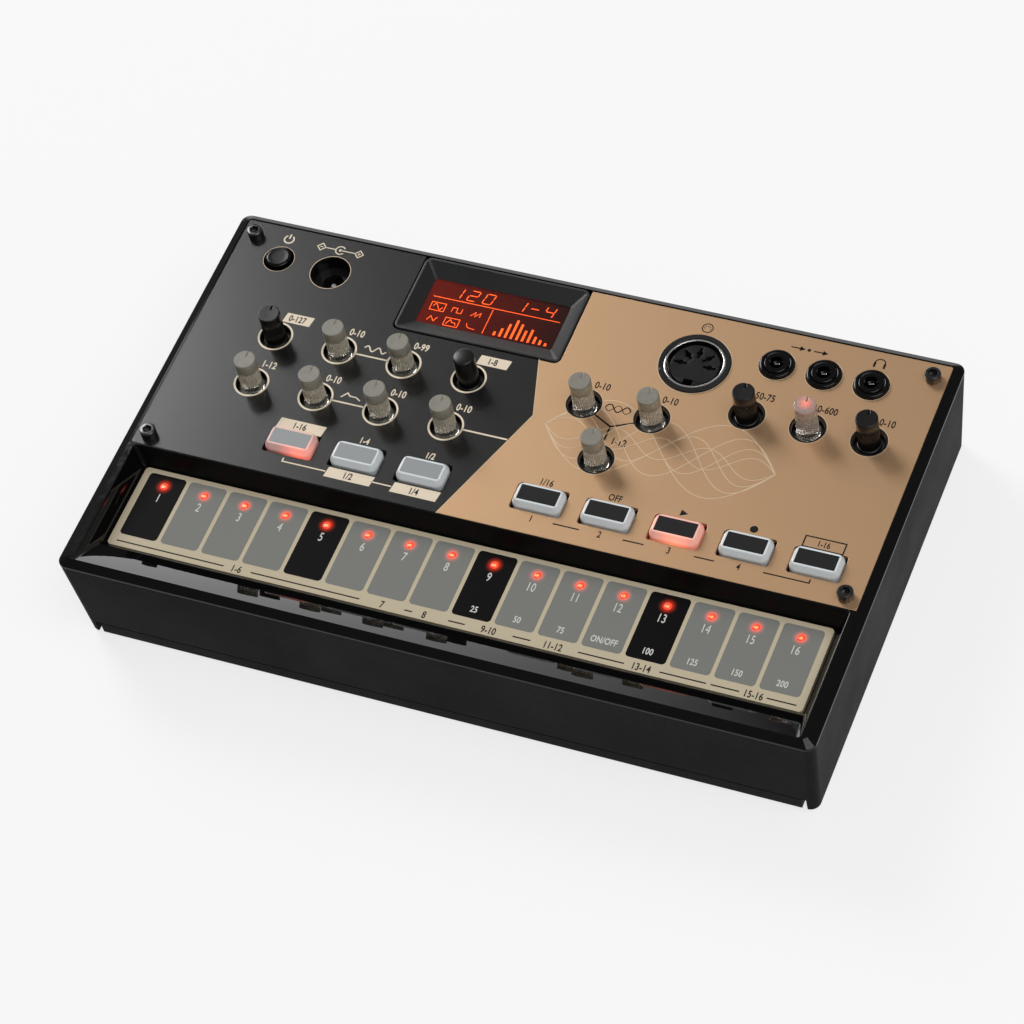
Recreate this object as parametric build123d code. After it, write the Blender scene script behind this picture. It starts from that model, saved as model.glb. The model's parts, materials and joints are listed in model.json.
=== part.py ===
from build123d import *
import math
import os

# Drum machine: a flat desktop box with a screwed-down control panel over a sunken touch strip.
# Millimetres. X runs along the long side, Y from the front edge to the back edge, Z up.
# The origin is on the table, under the middle of the case.

# Case
case_length = 193.0         # along X at the widest outline
case_depth = 115.0          # along Y at the widest outline
base_lean_x = 1.7           # how far each end leans in at the bottom
base_lean_y = 1.4           # how far the front and back lean in at the bottom
case_wall = 2.2
corner_radius = 2.5
inner_radius = 1.0          # inner corners of the case, corners of what fits inside it
foot_height = 1.0
fit_gap = 0.15              # between a piece and the pocket or wall that it drops into

# Top frame: rim, deck under the panel, funnel of the key tray
rim_band = 0.6              # upright band below the widest outline
rim_rise = 1.1              # ridge of the rim above the widest outline
rim_side = 2.3              # ridge in from the ends
rim_back = 1.8
rim_front = 2.1
deck_thickness = 1.6
tray_depth = 36.0           # tray mouth along Y
tray_front_wall = 2.3       # tray mouth in from the front outline
tray_side_wall = 4.0        # tray mouth in from each end outline
tray_drop = 6.0             # from the panel's top down to the tray's throat
tray_side_run = 1.8         # thickness of the funnel walls, measured flat
tray_front_run = 3.0
tray_back_run = 1.4
flange_thickness = 1.4      # the tray's flange that the touch board is screwed to
flange_front = 5.9          # flange past the throat at the front

# Control panel
panel_rise = 1.0            # panel's top above the widest outline
panel_thickness = 1.2
panel_side = 2.6            # panel in from the end outlines
panel_back = 2.1            # panel in from the back outline
tray_land = 0.5             # between the tray mouth and the panel
panel_gap = 0.1
panel_corner = 0.5

# Panel screws, socket head
screw_head_radius = 2.0
screw_head_height = 2.3
screw_edge = 0.25           # chamfer round the head
screw_shank_radius = 1.2
screw_length = 12.0         # under the head
screw_socket = 1.1          # hexagon, centre to flat
screw_socket_depth = 1.3
screw_inset_x = 3.7         # back pair, in from the panel's ends
screw_inset_y = 4.6         # back pair, in from the panel's back edge
screw_front_y = 3.2         # front pair, in from the panel's front edge
boss_radius = 3.0
boss_lift = 0.5             # boss above the bottom plate
thread_gap = 0.05           # round a screw in its boss
screw_spare = 0.5           # blind bore past the screw's end

# Touch strip and its board
key_count = 16
key_pitch = 11.0
strip_margin = 1.3          # strip past the last key's pitch at each end
strip_depth = 24.0
strip_thickness = 1.6
strip_gap_side = 0.5
strip_gap_front = 1.0
strip_gap_back = 0.3
strip_rise = 0.8            # strip's top above the throat
led_radius = 0.95
led_hole_gap = 0.05
led_inset = 4.5             # LED row from the strip's back edge
led_sink = 0.05             # LED's face below the strip's top
strip_inset = 2.3           # strip's back edge in front of the tray mouth's
board_thickness = 1.6
touch_board_inset = 0.2     # board in from the flange's edges
touch_screw_x = (-70.0, -25.0, 25.0, 70.0)
touch_screw_inset = 3.3     # screw row in front of the throat

# Knobs, their potentiometers and the encoder
knob_radius = 2.75
knob_rib_depth = 0.14
knob_rib_count = 30
knob_rise = 9.0             # knob's top above the panel
knob_cap = 3.0              # smooth cap above the ribs
knob_skirt_step = 0.25      # skirt past the knob's side
knob_skirt = 1.0
knob_edge = 0.3
pointer_width = 0.5
pointer_start = 1.1         # pointer groove from the axis outwards
pointer_depth = 0.5
knob_gap = 1.0              # round the skirt, in the hole of panel and deck
pot_width = 9.8
pot_depth = 11.0
pot_height = 6.2
pot_gap = 0.2               # between the body and the deck
pot_bushing_radius = 3.4
pot_bushing = 1.0           # bushing above the body
knob_lift = 0.2             # knob's skirt above the bushing
shaft_radius = 2.0
shaft_gap = 0.05            # running fit of the shaft in its bore
shaft_end_gap = 0.8
bore_floor = 1.2            # material under the shaft's bore
encoder_width = 11.4
encoder_depth = 12.2

pointer_knobs = {
    "value_knob": (-71.9, 21.5),
    "mod_amount_knob": (-54.4, 21.5),
    "mod_rate_knob": (-36.9, 21.5),
    "pitch_knob": (-71.9, 6.4),
    "attack_knob": (-54.4, 6.4),
    "release_knob": (-36.9, 6.4),
    "send_knob": (-19.4, 6.4),
    "resonator_decay_knob": (11.0, 21.7),
    "resonator_body_knob": (28.6, 21.7),
    "resonator_tune_knob": (19.8, 6.6),
    "swing_knob": (50.4, 28.8),
    "tempo_knob": (65.9, 28.8),
    "volume_knob": (81.3, 28.8),
}
select_knob_place = (-19.4, 21.5)
tempo_led_radius = 1.2
tempo_led_height = 0.6

# Push buttons and their switches
button_length = 12.5
button_depth = 7.2
button_corner = 2.0
button_top_length = 10.6
button_top_depth = 4.9
button_top_corner = 0.9
button_rise = 1.9           # button's top above the panel
button_side = 0.65          # upright side above the panel, below the bevel
button_gap = 0.3
button_hole_corner = 0.8
button_flange = 0.9         # flange under the deck, past the button's side
button_flange_height = 0.9
flange_gap = 0.3
button_travel = 0.8
stem_radius = 1.6
stem_gap = 0.1
stem_engagement = 0.5
stem_end_gap = 0.6          # left under the stem when the button is down
switch_width = 6.0
switch_height = 3.2
button_row_y = -8.5
step_buttons = {
    "step_edit_button": -54.4,
    "active_step_button": -36.9,
    "layer_button": -19.4,
    "step_jump_button": 11.0,
    "mute_button": 28.5,
    "play_button": 46.0,
    "record_button": 63.4,
    "function_button": 80.9,
}
power_place = (-81.2, 45.0)
power_radius = 3.25
power_hole_radius = 3.95
power_rise = 1.1
power_edge = 0.35
power_dish_radius = 2.6
power_dish_depth = 0.15
small_led = (1.6, 0.8, 0.7)
small_led_offset = 4.7      # beside the switch

# Display
display_place = (-21.9, 43.55)
bezel_length = 44.6
bezel_depth = 23.5
bezel_corner = 1.8
bezel_rise = 0.2            # bezel above the panel
bezel_lip = 0.8             # flat lip round the mouth
bezel_gap = 0.25            # to the panel's cut-out
window_length = 36.6        # seen part of the window
window_depth = 14.1
window_margin = 2.0         # glued part of the window under the bezel
window_thickness = 0.7
window_drop = 1.9           # window's face below the panel
window_corner = 0.5
module_margin = 0.7         # display module past the seen window
module_gap = 0.1

# DC jack
dc_place = (-66.5, 44.2)
dc_well_radius = 5.15
dc_well_wall = 1.1
dc_well_depth = 4.4         # jack's face below the panel
dc_body_width = 10.6
dc_barrel_radius = 4.4
dc_hole_radius = 2.75
dc_hole_depth = 9.5
dc_pin_radius = 0.85
dc_pin_drop = 0.6           # pin's tip below the jack's face
dc_floor = 1.0

# Five-pole DIN socket
din_place = (33.0, 40.2)
din_radius = 8.85
din_hole_gap = 0.1
din_shell_radius = 7.6
din_shell_wall = 0.6
din_insert_radius = 6.15
din_rise = 0.5              # housing above the panel
din_shell_sink = 0.2        # shell below the housing's edge
din_insert_sink = 0.9       # insert below the housing's edge
din_floor = 1.5
din_pole_circle = 3.75
din_pole_angles = (0, 45, 90, 135, 180)
din_slot_length = 3.4
din_slot_width = 0.7
din_slot_hole = 0.75
din_slot_depth = 5.0
din_key_width = 2.4
din_key_depth = 1.6
din_contact_radius = 0.6
din_contact_length = 3.0

# 3.5 mm jacks
jack_places = ((52.5, 45.0), (64.5, 45.0), (76.5, 45.0))
jack_bore_radius = 1.8
jack_bore_length = 14.0
jack_nose_radius = 3.15
jack_nose_rise = 1.2        # nose above the panel
jack_body_width = 9.0
jack_barrel_radius = 2.9
jack_floor = 1.0
jack_window_width = 2.4     # slot in the bore's wall that shows the contact
jack_window_height = 0.8
jack_window_depth = 2.6     # slot's middle below the nose's top
jack_window_reach = 2.6     # slot's end from the bore's axis
jack_window_turn = 20.0     # from the back towards the left, in degrees
jack_contact_height = 0.6
collar_radius = 4.35
collar_rise = 0.9
collar_gap = 0.1
collar_round = 0.4
hole_gap = 0.15             # between a jack's nose or barrel and its hole

# Bottom plate, battery bay and cover
plate_thickness = 2.4
strip_height = 3.7          # front edge strip of the bottom plate
strip_wall = 1.8
strip_half_gap = 3.8        # strip's ends in from the base's ends
notch_gap = 1.3             # side notches beside the strip
notch_rise = 0.3            # gap over the strip
cell_radius = 7.25
cell_length = 49.5
cell_nub = 1.0
cell_nub_radius = 2.75
cell_gap = 0.3              # to the cover, the roof and each other
cell_rows = 3
cells_per_row = 2
contact_plate = 0.5
contact_spring = 2.5        # spring or button between contact plate and cell
contact_side = 9.0
spring_base_radius = 3.0
spring_tip_radius = 1.4
bay_wall = 1.4
bay_roof = 1.2
bay_left = -84.0
bay_foot_gap = 3.65         # battery bay behind the front feet
cover_thickness = 1.5
cover_gap = 0.3
cover_end_gap = 0.4         # cover's end in from the base outline
tongue_width = 1.2
tongue_low = 0.9            # tongue above the cover's outer face
tongue_thickness = 0.6
tongue_gap = 0.2
grip_count = 5
grip_pitch = 2.0
grip_depth = 0.4
foot_radius = 5.0
foot_pocket = 0.6
foot_edge = 0.25
foot_inset_x = 16.8         # feet in from the base's ends
foot_inset_y = 12.1

# Case screws and board screws
case_screw_x = (-85.0, 0.0, 85.0)
case_screw_inset = 5.1      # in from the base's front and back
case_screw_radius = 1.1
case_screw_head = 2.3
case_screw_head_height = 0.9
case_screw_sink = 1.2       # counterbore depth
case_screw_length = 5.6
case_boss_top = 12.0
rib_width = 2.0
board_screw_radius = 0.8
board_screw_head = 1.6
board_screw_head_height = 1.0
board_screw_length = 3.1    # under the head
board_screw_boss = 2.5      # height of the bosses over the touch board
post_radius = 2.2
board_posts = ((-83.0, 14.5), (83.0, 14.5), (-52.0, 47.0), (16.0, 49.0), (-2.0, 27.0))

# Control board and what is on it
board_lift = 0.4            # board above the battery bay's roof
board_side = 9.9            # board in from the end outlines
board_back = 4.0
board_front = 1.2           # behind the panel's front edge
chips = (                   # x, y, length, depth, height
    (0.0, 6.0, 12.0, 12.0, 1.4),
    (57.0, 9.0, 18.0, 7.6, 2.2),
    (39.5, 10.0, 8.0, 5.0, 1.7),
    (-83.0, 4.0, 5.0, 6.2, 1.7),
)
capacitors = ((72.0, 4.0), (72.0, 14.0), (38.0, 24.5), (-74.0, 34.0))
capacitor_radius = 2.6
capacitor_height = 5.4
flex_width = 12.0
flex_thickness = 0.3
flex_x = -67.0
flex_start = 6.5            # under the touch board
flex_entry = 0.4            # underside above the control board
flex_connector = 3.5
flex_connector_height = 1.4
flex_connector_y = 3.0      # behind the control board's front edge

# Speaker
speaker_place = (58.0, -24.0)
speaker_radius = 18.0
speaker_flange = 1.2
speaker_throat = 15.4       # inner radius of the flange
speaker_seat = 2.0          # flat of the flange, from its edge inwards
speaker_basket = 6.1        # basket's back above the bottom plate
speaker_back_radius = 9.0
speaker_sheet = 1.0
speaker_vent = 0.8          # hole through the basket's back, behind the magnet's face
cone_sheet = 0.4
cone_lift = 0.2             # cone's hem above the bottom plate
cone_hem = 1.5
cap_dip = 1.2               # dust cap, hollow towards the grille
magnet_radius = 8.0
magnet_height = 4.5
ring_wall = 1.5             # locating ring on the bottom plate
ring_height = 2.0
slot_width = 1.6
slot_pitch = 4.0
slots_each_side = 3         # besides the middle one
slot_reach = 14.5

# Internal leads
lead_radius = 0.6
lead_bend = 3.0
lead_run = 6.0              # out from the battery bay before the leads turn up
lead_inset = 8.0            # first lead from the bay's back corner
lead_pitch = 6.0

# Heights worked out from the sizes above: what lies on what, from the table up
plate_bottom = foot_height
plate_top = plate_bottom + plate_thickness
cover_top = plate_bottom + cover_thickness
cell_bottom = cover_top + cell_gap
cell_axis = cell_bottom + cell_radius
bay_ceiling = cell_bottom + 2 * cell_radius + cell_gap
bay_top = bay_ceiling + bay_roof
board_bottom = bay_top + board_lift
board_top = board_bottom + board_thickness
bushing_top = board_top + pot_height + pot_bushing
deck_bottom = board_top + pot_height + pot_gap
deck_top = deck_bottom + deck_thickness
panel_top = deck_top + panel_thickness
outline_height = panel_top - panel_rise
split_height = outline_height - rim_band
rim_top = outline_height + rim_rise
throat_height = panel_top - tray_drop
strip_top = throat_height + strip_rise
strip_bottom = strip_top - strip_thickness
touch_board_bottom = strip_bottom - board_thickness

# Places worked out from the sizes above
knob_skirt_radius = knob_radius + knob_skirt_step
well_radius = knob_skirt_radius + knob_gap
tray_front = -case_depth / 2 + tray_front_wall
tray_back = tray_front + tray_depth
tray_half = case_length / 2 - tray_side_wall
strip_half = key_count * key_pitch / 2 + strip_margin
strip_back = tray_back - strip_inset
strip_front = strip_back - strip_depth
throat_half = strip_half + strip_gap_side
throat_back = strip_back + strip_gap_back
throat_front = strip_front - strip_gap_front
panel_half = case_length / 2 - panel_side
panel_back_y = case_depth / 2 - panel_back
panel_front_y = tray_back + tray_land
panel_centre_y = (panel_back_y + panel_front_y) / 2
panel_depth = panel_back_y - panel_front_y
panel_screws = [
    (side * (panel_half - screw_inset_x), y)
    for side in (-1, 1)
    for y in (panel_front_y + screw_front_y, panel_back_y - screw_inset_y)
]
bay_length = 2 * (contact_plate + contact_spring) + cells_per_row * (cell_length + cell_nub)
bay_width = cell_rows * 2 * cell_radius + (cell_rows + 1) * cell_gap
bay_right = bay_left + bay_length
foot_y = case_depth / 2 - base_lean_y - foot_inset_y
bay_front = -foot_y + foot_radius + bay_foot_gap
bay_back = bay_front + bay_width
bay_centre_y = (bay_front + bay_back) / 2
channel_top = cover_top + tongue_gap
groove_top = plate_bottom + tongue_low + tongue_thickness + tongue_gap
channel_half = bay_width / 2 - cover_gap + tongue_width + tongue_gap
feet = [
    (x * (case_length / 2 - base_lean_x - foot_inset_x), y * foot_y)
    for x in (-1, 1)
    for y in (-1, 1)
]
case_screws = [
    (x, y * (case_depth / 2 - base_lean_y - case_screw_inset)) for x in case_screw_x for y in (-1, 1)
]
board_half = case_length / 2 - board_side
board_front_y = panel_front_y + board_front
board_back_y = case_depth / 2 - board_back
over = 1.0                  # how far a cutting shape runs past what it cuts
weld = 0.5                  # how far shapes of one piece run into each other
touch_screws = [(x, throat_front - touch_screw_inset) for x in touch_screw_x]


def block(x_low, x_high, y_low, y_high, z_low, z_high):
    centre = Pos((x_low + x_high) / 2, (y_low + y_high) / 2, (z_low + z_high) / 2)
    return centre * Box(x_high - x_low, y_high - y_low, z_high - z_low)


def rod(place, radius, bottom, top):
    return Pos(place[0], place[1], (bottom + top) / 2) * Cylinder(radius, top - bottom)


def rods(places, radius, bottom, top):
    return [rod(place, radius, bottom, top) for place in places]


def rounded_block(place, length, depth, radius, bottom, top):
    outline = Pos(place[0], place[1], bottom) * RectangleRounded(length, depth, radius)
    return extrude(outline, top - bottom)


def funnel(low, high):
    # Straight-sided solid between two rounded rectangles, each (x, y, z, length, depth, radius).
    sections = [Pos(x, y, z) * RectangleRounded(length, depth, radius)
                for x, y, z, length, depth, radius in (low, high)]
    return loft(sections, ruled=True)


def case_size(height, inset):
    # Length and depth of the leaning case at a height, drawn in by inset all round.
    lean = (outline_height - height) / (outline_height - foot_height)
    length = case_length - 2 * base_lean_x * lean - 2 * inset
    depth = case_depth - 2 * base_lean_y * lean - 2 * inset
    return length, depth


def leaning_block(bottom, top, inset, radius):
    low = (0, 0, bottom, *case_size(bottom, inset), radius)
    high = (0, 0, top, *case_size(top, inset), radius)
    return funnel(low, high)


def tray_section(height, side=0.0, front=0.0, back=0.0):
    # The tray's funnel at a height, as (x, y, z, length, depth, radius), with walls added.
    share = (height - throat_height) / tray_drop
    half = throat_half + (tray_half - throat_half) * share + side
    y_front = throat_front + (tray_front - throat_front) * share - front
    y_back = throat_back + (tray_back - throat_back) * share + back
    return 0, (y_front + y_back) / 2, height, 2 * half, y_back - y_front, inner_radius


def write(name, *shapes):
    solids = [solid for shape in shapes for solid in shape.solids()]
    part = solids[0] if len(solids) == 1 else Compound(children=solids)
    part.label = name
    export_step(part, os.path.join("parts", name + ".step"))


def lower_case():
    tub = leaning_block(foot_height, split_height, 0, corner_radius)
    tub -= leaning_block(foot_height - over, split_height + over, case_wall, inner_radius)
    base_length, base_depth = case_size(foot_height, 0)
    # Opening for the bottom plate's front strip, and the slot that the battery cover leaves by
    notch_half = base_length / 2 - strip_half_gap + notch_gap
    notch_top = plate_bottom + strip_height + notch_rise
    tub -= block(-notch_half, notch_half, -case_depth, case_wall - base_depth / 2, 0, notch_top)
    tub -= block(-case_length, case_wall - base_length / 2 + over, bay_centre_y - channel_half,
                 bay_centre_y + channel_half, 0, max(channel_top, groove_top))
    # Bosses for the panel screws, each with a rib to the end wall
    for x, y in panel_screws:
        side = math.copysign(1, x)
        wall_x = side * (base_length / 2 - case_wall / 4)
        tub += rod((x, y), boss_radius, plate_top + boss_lift, deck_bottom)
        tub += block(min(x, wall_x), max(x, wall_x), y - rib_width / 2, y + rib_width / 2,
                     plate_top + boss_lift, deck_bottom)
    for x, y in case_screws:
        wall_y = math.copysign(base_depth / 2 - case_wall / 2, y)
        tub += rod((x, y), boss_radius, plate_top, case_boss_top)
        tub += block(x - rib_width / 2, x + rib_width / 2, min(y, wall_y), max(y, wall_y),
                     notch_top, case_boss_top)
    tub -= rods(panel_screws, screw_shank_radius + thread_gap,
                panel_top - screw_length - screw_spare, deck_bottom + over)
    tub -= rods(case_screws, case_screw_radius + thread_gap, 0,
                plate_bottom + case_screw_sink + case_screw_length + screw_spare)
    return tub


def bottom_plate():
    base_length, base_depth = case_size(foot_height, 0)
    plate = rounded_block((0, 0), *case_size(foot_height, case_wall + fit_gap), inner_radius,
                          plate_bottom, plate_top)
    # Front strip, which leans like the case
    strip_end = base_length / 2 - strip_half_gap
    lean = base_lean_y * strip_height / (outline_height - foot_height)
    front = -base_depth / 2
    profile = Polygon((front, plate_bottom), (front + strip_wall + case_wall, plate_bottom),
                      (front + strip_wall + case_wall, plate_top), (front + strip_wall, plate_top),
                      (front + strip_wall, plate_bottom + strip_height),
                      (front - lean, plate_bottom + strip_height), align=None)
    plate += extrude(Plane.YZ * profile, strip_end, both=True)
    # Battery bay
    plate += block(bay_left - bay_wall, bay_right + bay_wall, bay_front - bay_wall,
                   bay_back + bay_wall, plate_bottom + plate_thickness / 2, bay_top)
    plate -= block(bay_left, bay_right, bay_front, bay_back, 0, bay_ceiling)
    # Channel and grooves for the sliding cover
    plate -= block(-case_length, bay_left + over, bay_front, bay_back, 0, channel_top)
    plate -= block(-case_length, bay_right, bay_centre_y - channel_half, bay_centre_y + channel_half,
                   plate_bottom + tongue_low - tongue_gap, groove_top)
    # Speaker ring and slots
    ring = Circle(speaker_radius + fit_gap + ring_wall) - Circle(speaker_radius + fit_gap)
    x, y = speaker_place
    plate += Pos(x, y, plate_top) * extrude(ring, ring_height)
    for step in range(-slots_each_side, slots_each_side + 1):
        offset = step * slot_pitch
        length = 2 * math.sqrt(slot_reach**2 - offset**2)
        slot = Pos(x, y + offset, 0) * SlotOverall(length, slot_width)
        plate -= extrude(slot, plate_top + over)
    plate -= rods(feet, foot_radius + fit_gap, 0, plate_bottom + foot_pocket)
    plate -= rods(case_screws, case_screw_radius + fit_gap, 0, plate_top + over)
    plate -= rods(case_screws, case_screw_head + fit_gap, 0, plate_bottom + case_screw_sink)
    return plate


def battery_cover():
    left = -case_size(foot_height, 0)[0] / 2 + cover_end_gap
    right = bay_right - cover_gap
    half = bay_width / 2 - cover_gap
    low = plate_bottom + tongue_low
    cover = block(left, right, bay_centre_y - half, bay_centre_y + half, plate_bottom, cover_top)
    cover += block(left, right, bay_centre_y - half - tongue_width, bay_centre_y + half + tongue_width,
                   low, low + tongue_thickness)
    for step in range(grip_count):
        x = bay_left + step * grip_pitch
        cover -= block(x, x + grip_pitch / 2, bay_centre_y - half / 2, bay_centre_y + half / 2,
                       0, plate_bottom + grip_depth)
    return cover


def battery_cells():
    cells = []
    for row in range(cell_rows):
        y = bay_front + cell_gap + cell_radius + row * (2 * cell_radius + cell_gap)
        for place in range(cells_per_row):
            x = bay_left + contact_plate + contact_spring + place * (cell_length + cell_nub)
            can = Cylinder(cell_radius, cell_length, align=(Align.CENTER, Align.CENTER, Align.MIN))
            nub = Cylinder(cell_nub_radius, cell_nub, align=(Align.CENTER, Align.CENTER, Align.MIN))
            cell = can + Pos(0, 0, cell_length) * nub
            cells.append(Pos(x, y, cell_axis) * Rot(0, 90, 0) * cell)
    return cells


def battery_contacts():
    contacts = []
    for row in range(cell_rows):
        y = bay_front + cell_gap + cell_radius + row * (2 * cell_radius + cell_gap)
        for wall_x, turn in ((bay_left, 90), (bay_right, -90)):
            plate = Box(contact_side, contact_side, contact_plate,
                        align=(Align.CENTER, Align.CENTER, Align.MIN))
            spring = Cone(spring_base_radius, spring_tip_radius, contact_spring,
                          align=(Align.CENTER, Align.CENTER, Align.MIN))
            contact = plate + Pos(0, 0, contact_plate) * spring
            contacts.append(Pos(wall_x, y, cell_axis) * Rot(0, turn, 0) * contact)
    return contacts


def tray_flange(inset, bottom, top):
    # Flat outline under the tray, shared by its flange and the touch board.
    half = throat_half + tray_side_run - inset
    return block(-half, half, throat_front - flange_front + inset, throat_back + tray_back_run - inset,
                 bottom, top)


def top_frame():
    ridge_length = case_length - 2 * rim_side
    ridge_depth = case_depth - rim_front - rim_back
    ridge_y = (rim_front - rim_back) / 2
    frame = rounded_block((0, 0), case_length, case_depth, corner_radius, split_height, outline_height)
    frame += funnel((0, 0, outline_height, case_length, case_depth, corner_radius),
                    (0, ridge_y, rim_top, ridge_length, ridge_depth, corner_radius / 2))
    frame += rounded_block((0, 0), *case_size(deck_bottom, case_wall + fit_gap), inner_radius,
                           deck_bottom, split_height)
    # Tray walls and the flange under them
    walls = {"side": tray_side_run, "front": tray_front_run, "back": tray_back_run}
    inside = rounded_block((0, 0), *case_size(deck_bottom, case_wall + fit_gap), inner_radius,
                           strip_bottom, split_height)
    frame += inside & funnel(tray_section(strip_bottom, **walls), tray_section(deck_bottom + weld, **walls))
    frame += tray_flange(0, strip_bottom, strip_bottom + flange_thickness)
    for place in touch_screws:
        frame += rod(place, post_radius, strip_bottom, strip_bottom + board_screw_boss)
    # Straight throat below, sloping mouth above
    _, y, _, length, depth, radius = tray_section(throat_height)
    mouth = rounded_block((0, y), length, depth, radius, strip_bottom - over, throat_height)
    frame -= mouth + funnel(tray_section(throat_height), tray_section(rim_top + over))
    screw_reach = board_screw_length - board_thickness + screw_spare
    frame -= rods(touch_screws, board_screw_radius + thread_gap, 0, strip_bottom + screw_reach)
    # Pocket for the panel, posts for the board, well for the DC jack
    frame -= rounded_block((0, panel_centre_y), 2 * (panel_half + panel_gap), panel_depth + 2 * panel_gap,
                           panel_corner, deck_top, rim_top + over)
    for place in board_posts:
        frame += rod(place, post_radius, board_top, deck_bottom + weld)
    frame -= rods(board_posts, board_screw_radius + thread_gap, 0, board_top + screw_reach)
    frame += rod(dc_place, dc_well_radius + dc_well_wall, panel_top - dc_well_depth, deck_bottom + weld)
    # Openings in the deck
    frame -= rod(dc_place, dc_well_radius, 0, rim_top)
    frame -= rods([*pointer_knobs.values(), select_knob_place], well_radius, 0, rim_top)
    frame -= rods(panel_screws, screw_shank_radius + fit_gap, 0, rim_top)
    frame -= rod(power_place, power_hole_radius, 0, rim_top)
    frame -= rod(din_place, din_radius + din_hole_gap, 0, rim_top)
    frame -= rods(jack_places, jack_nose_radius + hole_gap, 0, rim_top)
    frame -= button_holes()
    frame -= rounded_block(display_place, window_length + 2 * window_margin + 2 * fit_gap,
                           window_depth + 2 * window_margin + 2 * fit_gap, window_corner, 0, rim_top)
    return frame


def divided_frame():
    # The frame is one moulding, kept as two nodes that meet along the tray mouth's back edge.
    frame = top_frame()
    front = block(-case_length, case_length, -case_depth, tray_back, 0, rim_top + over)
    return frame & front, frame - front


def button_holes():
    return [rounded_block((x, button_row_y), button_length + 2 * button_gap,
                          button_depth + 2 * button_gap, button_hole_corner, 0, rim_top)
            for x in step_buttons.values()]


def control_panel():
    panel = rounded_block((0, panel_centre_y), 2 * panel_half, panel_depth, panel_corner,
                          deck_top, panel_top)
    panel -= rods([*pointer_knobs.values(), select_knob_place], well_radius, 0, rim_top)
    panel -= rods(panel_screws, screw_shank_radius + fit_gap, 0, rim_top)
    panel -= rod(power_place, power_hole_radius, 0, rim_top)
    panel -= rod(dc_place, dc_well_radius, 0, rim_top)
    panel -= rod(din_place, din_radius + din_hole_gap, 0, rim_top)
    panel -= rods(jack_places, collar_radius + collar_gap, 0, rim_top)
    panel -= button_holes()
    # The display's cut-out is open to the back edge
    x, y = display_place
    half = bezel_length / 2 + bezel_gap
    front = y - bezel_depth / 2 - bezel_gap
    cutout = rounded_block((x, (front + case_depth) / 2), 2 * half, case_depth - front, bezel_corner,
                           0, rim_top)
    return panel - cutout


def panel_screw(place):
    x, y = place
    head = rod((0, 0), screw_head_radius, panel_top, panel_top + screw_head_height)
    head = chamfer(head.edges().group_by(Axis.Z)[-1], screw_edge)
    socket = Pos(0, 0, panel_top + screw_head_height - screw_socket_depth) * extrude(
        RegularPolygon(screw_socket, 6, major_radius=False), screw_socket_depth + over)
    shank = rod((0, 0), screw_shank_radius, panel_top - screw_length, panel_top)
    return Pos(x, y, 0) * (head - socket + shank)


def small_screw(place, radius, length, head_radius, head_height, seat):
    # Points up: the head lies under seat, the shank runs up from it.
    screw = rod(place, head_radius, seat - head_height, seat) + rod(place, radius, seat, seat + length)
    for turn in (0, 90):
        cross = Rot(0, 0, turn) * Box(head_radius, head_radius / 4, head_height)
        screw -= Pos(place[0], place[1], seat - head_height) * cross
    return screw


def knob(ribbed, pointer):
    top = panel_top + knob_rise
    rib_top = top - knob_cap
    skirt_bottom = bushing_top + knob_lift
    shaft_bottom = board_top + bore_floor + shaft_end_gap
    body = rod((0, 0), knob_skirt_radius, skirt_bottom, skirt_bottom + knob_skirt)
    if ribbed:
        points = []
        for step in range(2 * knob_rib_count):
            radius = knob_radius - knob_rib_depth * (step % 2)
            angle = math.pi * step / knob_rib_count
            points.append((radius * math.cos(angle), radius * math.sin(angle)))
        grip = Pos(0, 0, skirt_bottom) * extrude(Polygon(*points, align=None), rib_top - skirt_bottom)
    else:
        grip = rod((0, 0), knob_radius, skirt_bottom, rib_top)
    cap = rod((0, 0), knob_radius, rib_top, top)
    cap = chamfer(cap.edges().group_by(Axis.Z)[-1], knob_edge)
    body += grip + cap + rod((0, 0), shaft_radius, shaft_bottom, skirt_bottom)
    if pointer:
        body -= block(-pointer_width / 2, pointer_width / 2, pointer_start, knob_radius + over,
                      top - pointer_depth, top + over)
    return body


def dial_body(place, width, depth):
    # Potentiometer or encoder: square body on the board, round bushing, blind bore for the shaft.
    x, y = place
    body = block(x - width / 2, x + width / 2, y - depth / 2, y + depth / 2,
                 board_top, board_top + pot_height)
    body += rod(place, pot_bushing_radius, board_top + pot_height, bushing_top)
    return body - rod(place, shaft_radius + shaft_gap, board_top + bore_floor, bushing_top + over)


def button_stem():
    bottom = board_top + switch_height - stem_engagement
    return rod((0, 0), stem_radius, bottom, deck_bottom - flange_gap)


def push_button():
    shoulder = panel_top + button_side
    flange_top = deck_bottom - flange_gap
    body = rounded_block((0, 0), button_length, button_depth, button_corner, flange_top, shoulder)
    body += funnel((0, 0, shoulder, button_length, button_depth, button_corner),
                   (0, 0, panel_top + button_rise, button_top_length, button_top_depth, button_top_corner))
    body += rounded_block((0, 0), button_length + 2 * button_flange, button_depth + 2 * button_flange,
                          button_corner, flange_top - button_flange_height, flange_top)
    return body + button_stem()


def power_button():
    flange_top = deck_bottom - flange_gap
    top = panel_top + power_rise
    cap = rod((0, 0), power_radius, flange_top, top)
    cap = chamfer(cap.edges().group_by(Axis.Z)[-1], power_edge)
    cap -= rod((0, 0), power_dish_radius, top - power_dish_depth, top + over)
    cap += rod((0, 0), power_radius + 2 * button_flange, flange_top - button_flange_height, flange_top)
    return Pos(*power_place, 0) * (cap + button_stem())


def push_switch(place):
    x, y = place
    half = switch_width / 2
    body = block(x - half, x + half, y - half, y + half, board_top, board_top + switch_height)
    bore_bottom = board_top + switch_height - stem_engagement - button_travel - stem_end_gap
    return body - rod(place, stem_radius + stem_gap, bore_bottom, board_top + switch_height + over)


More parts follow.
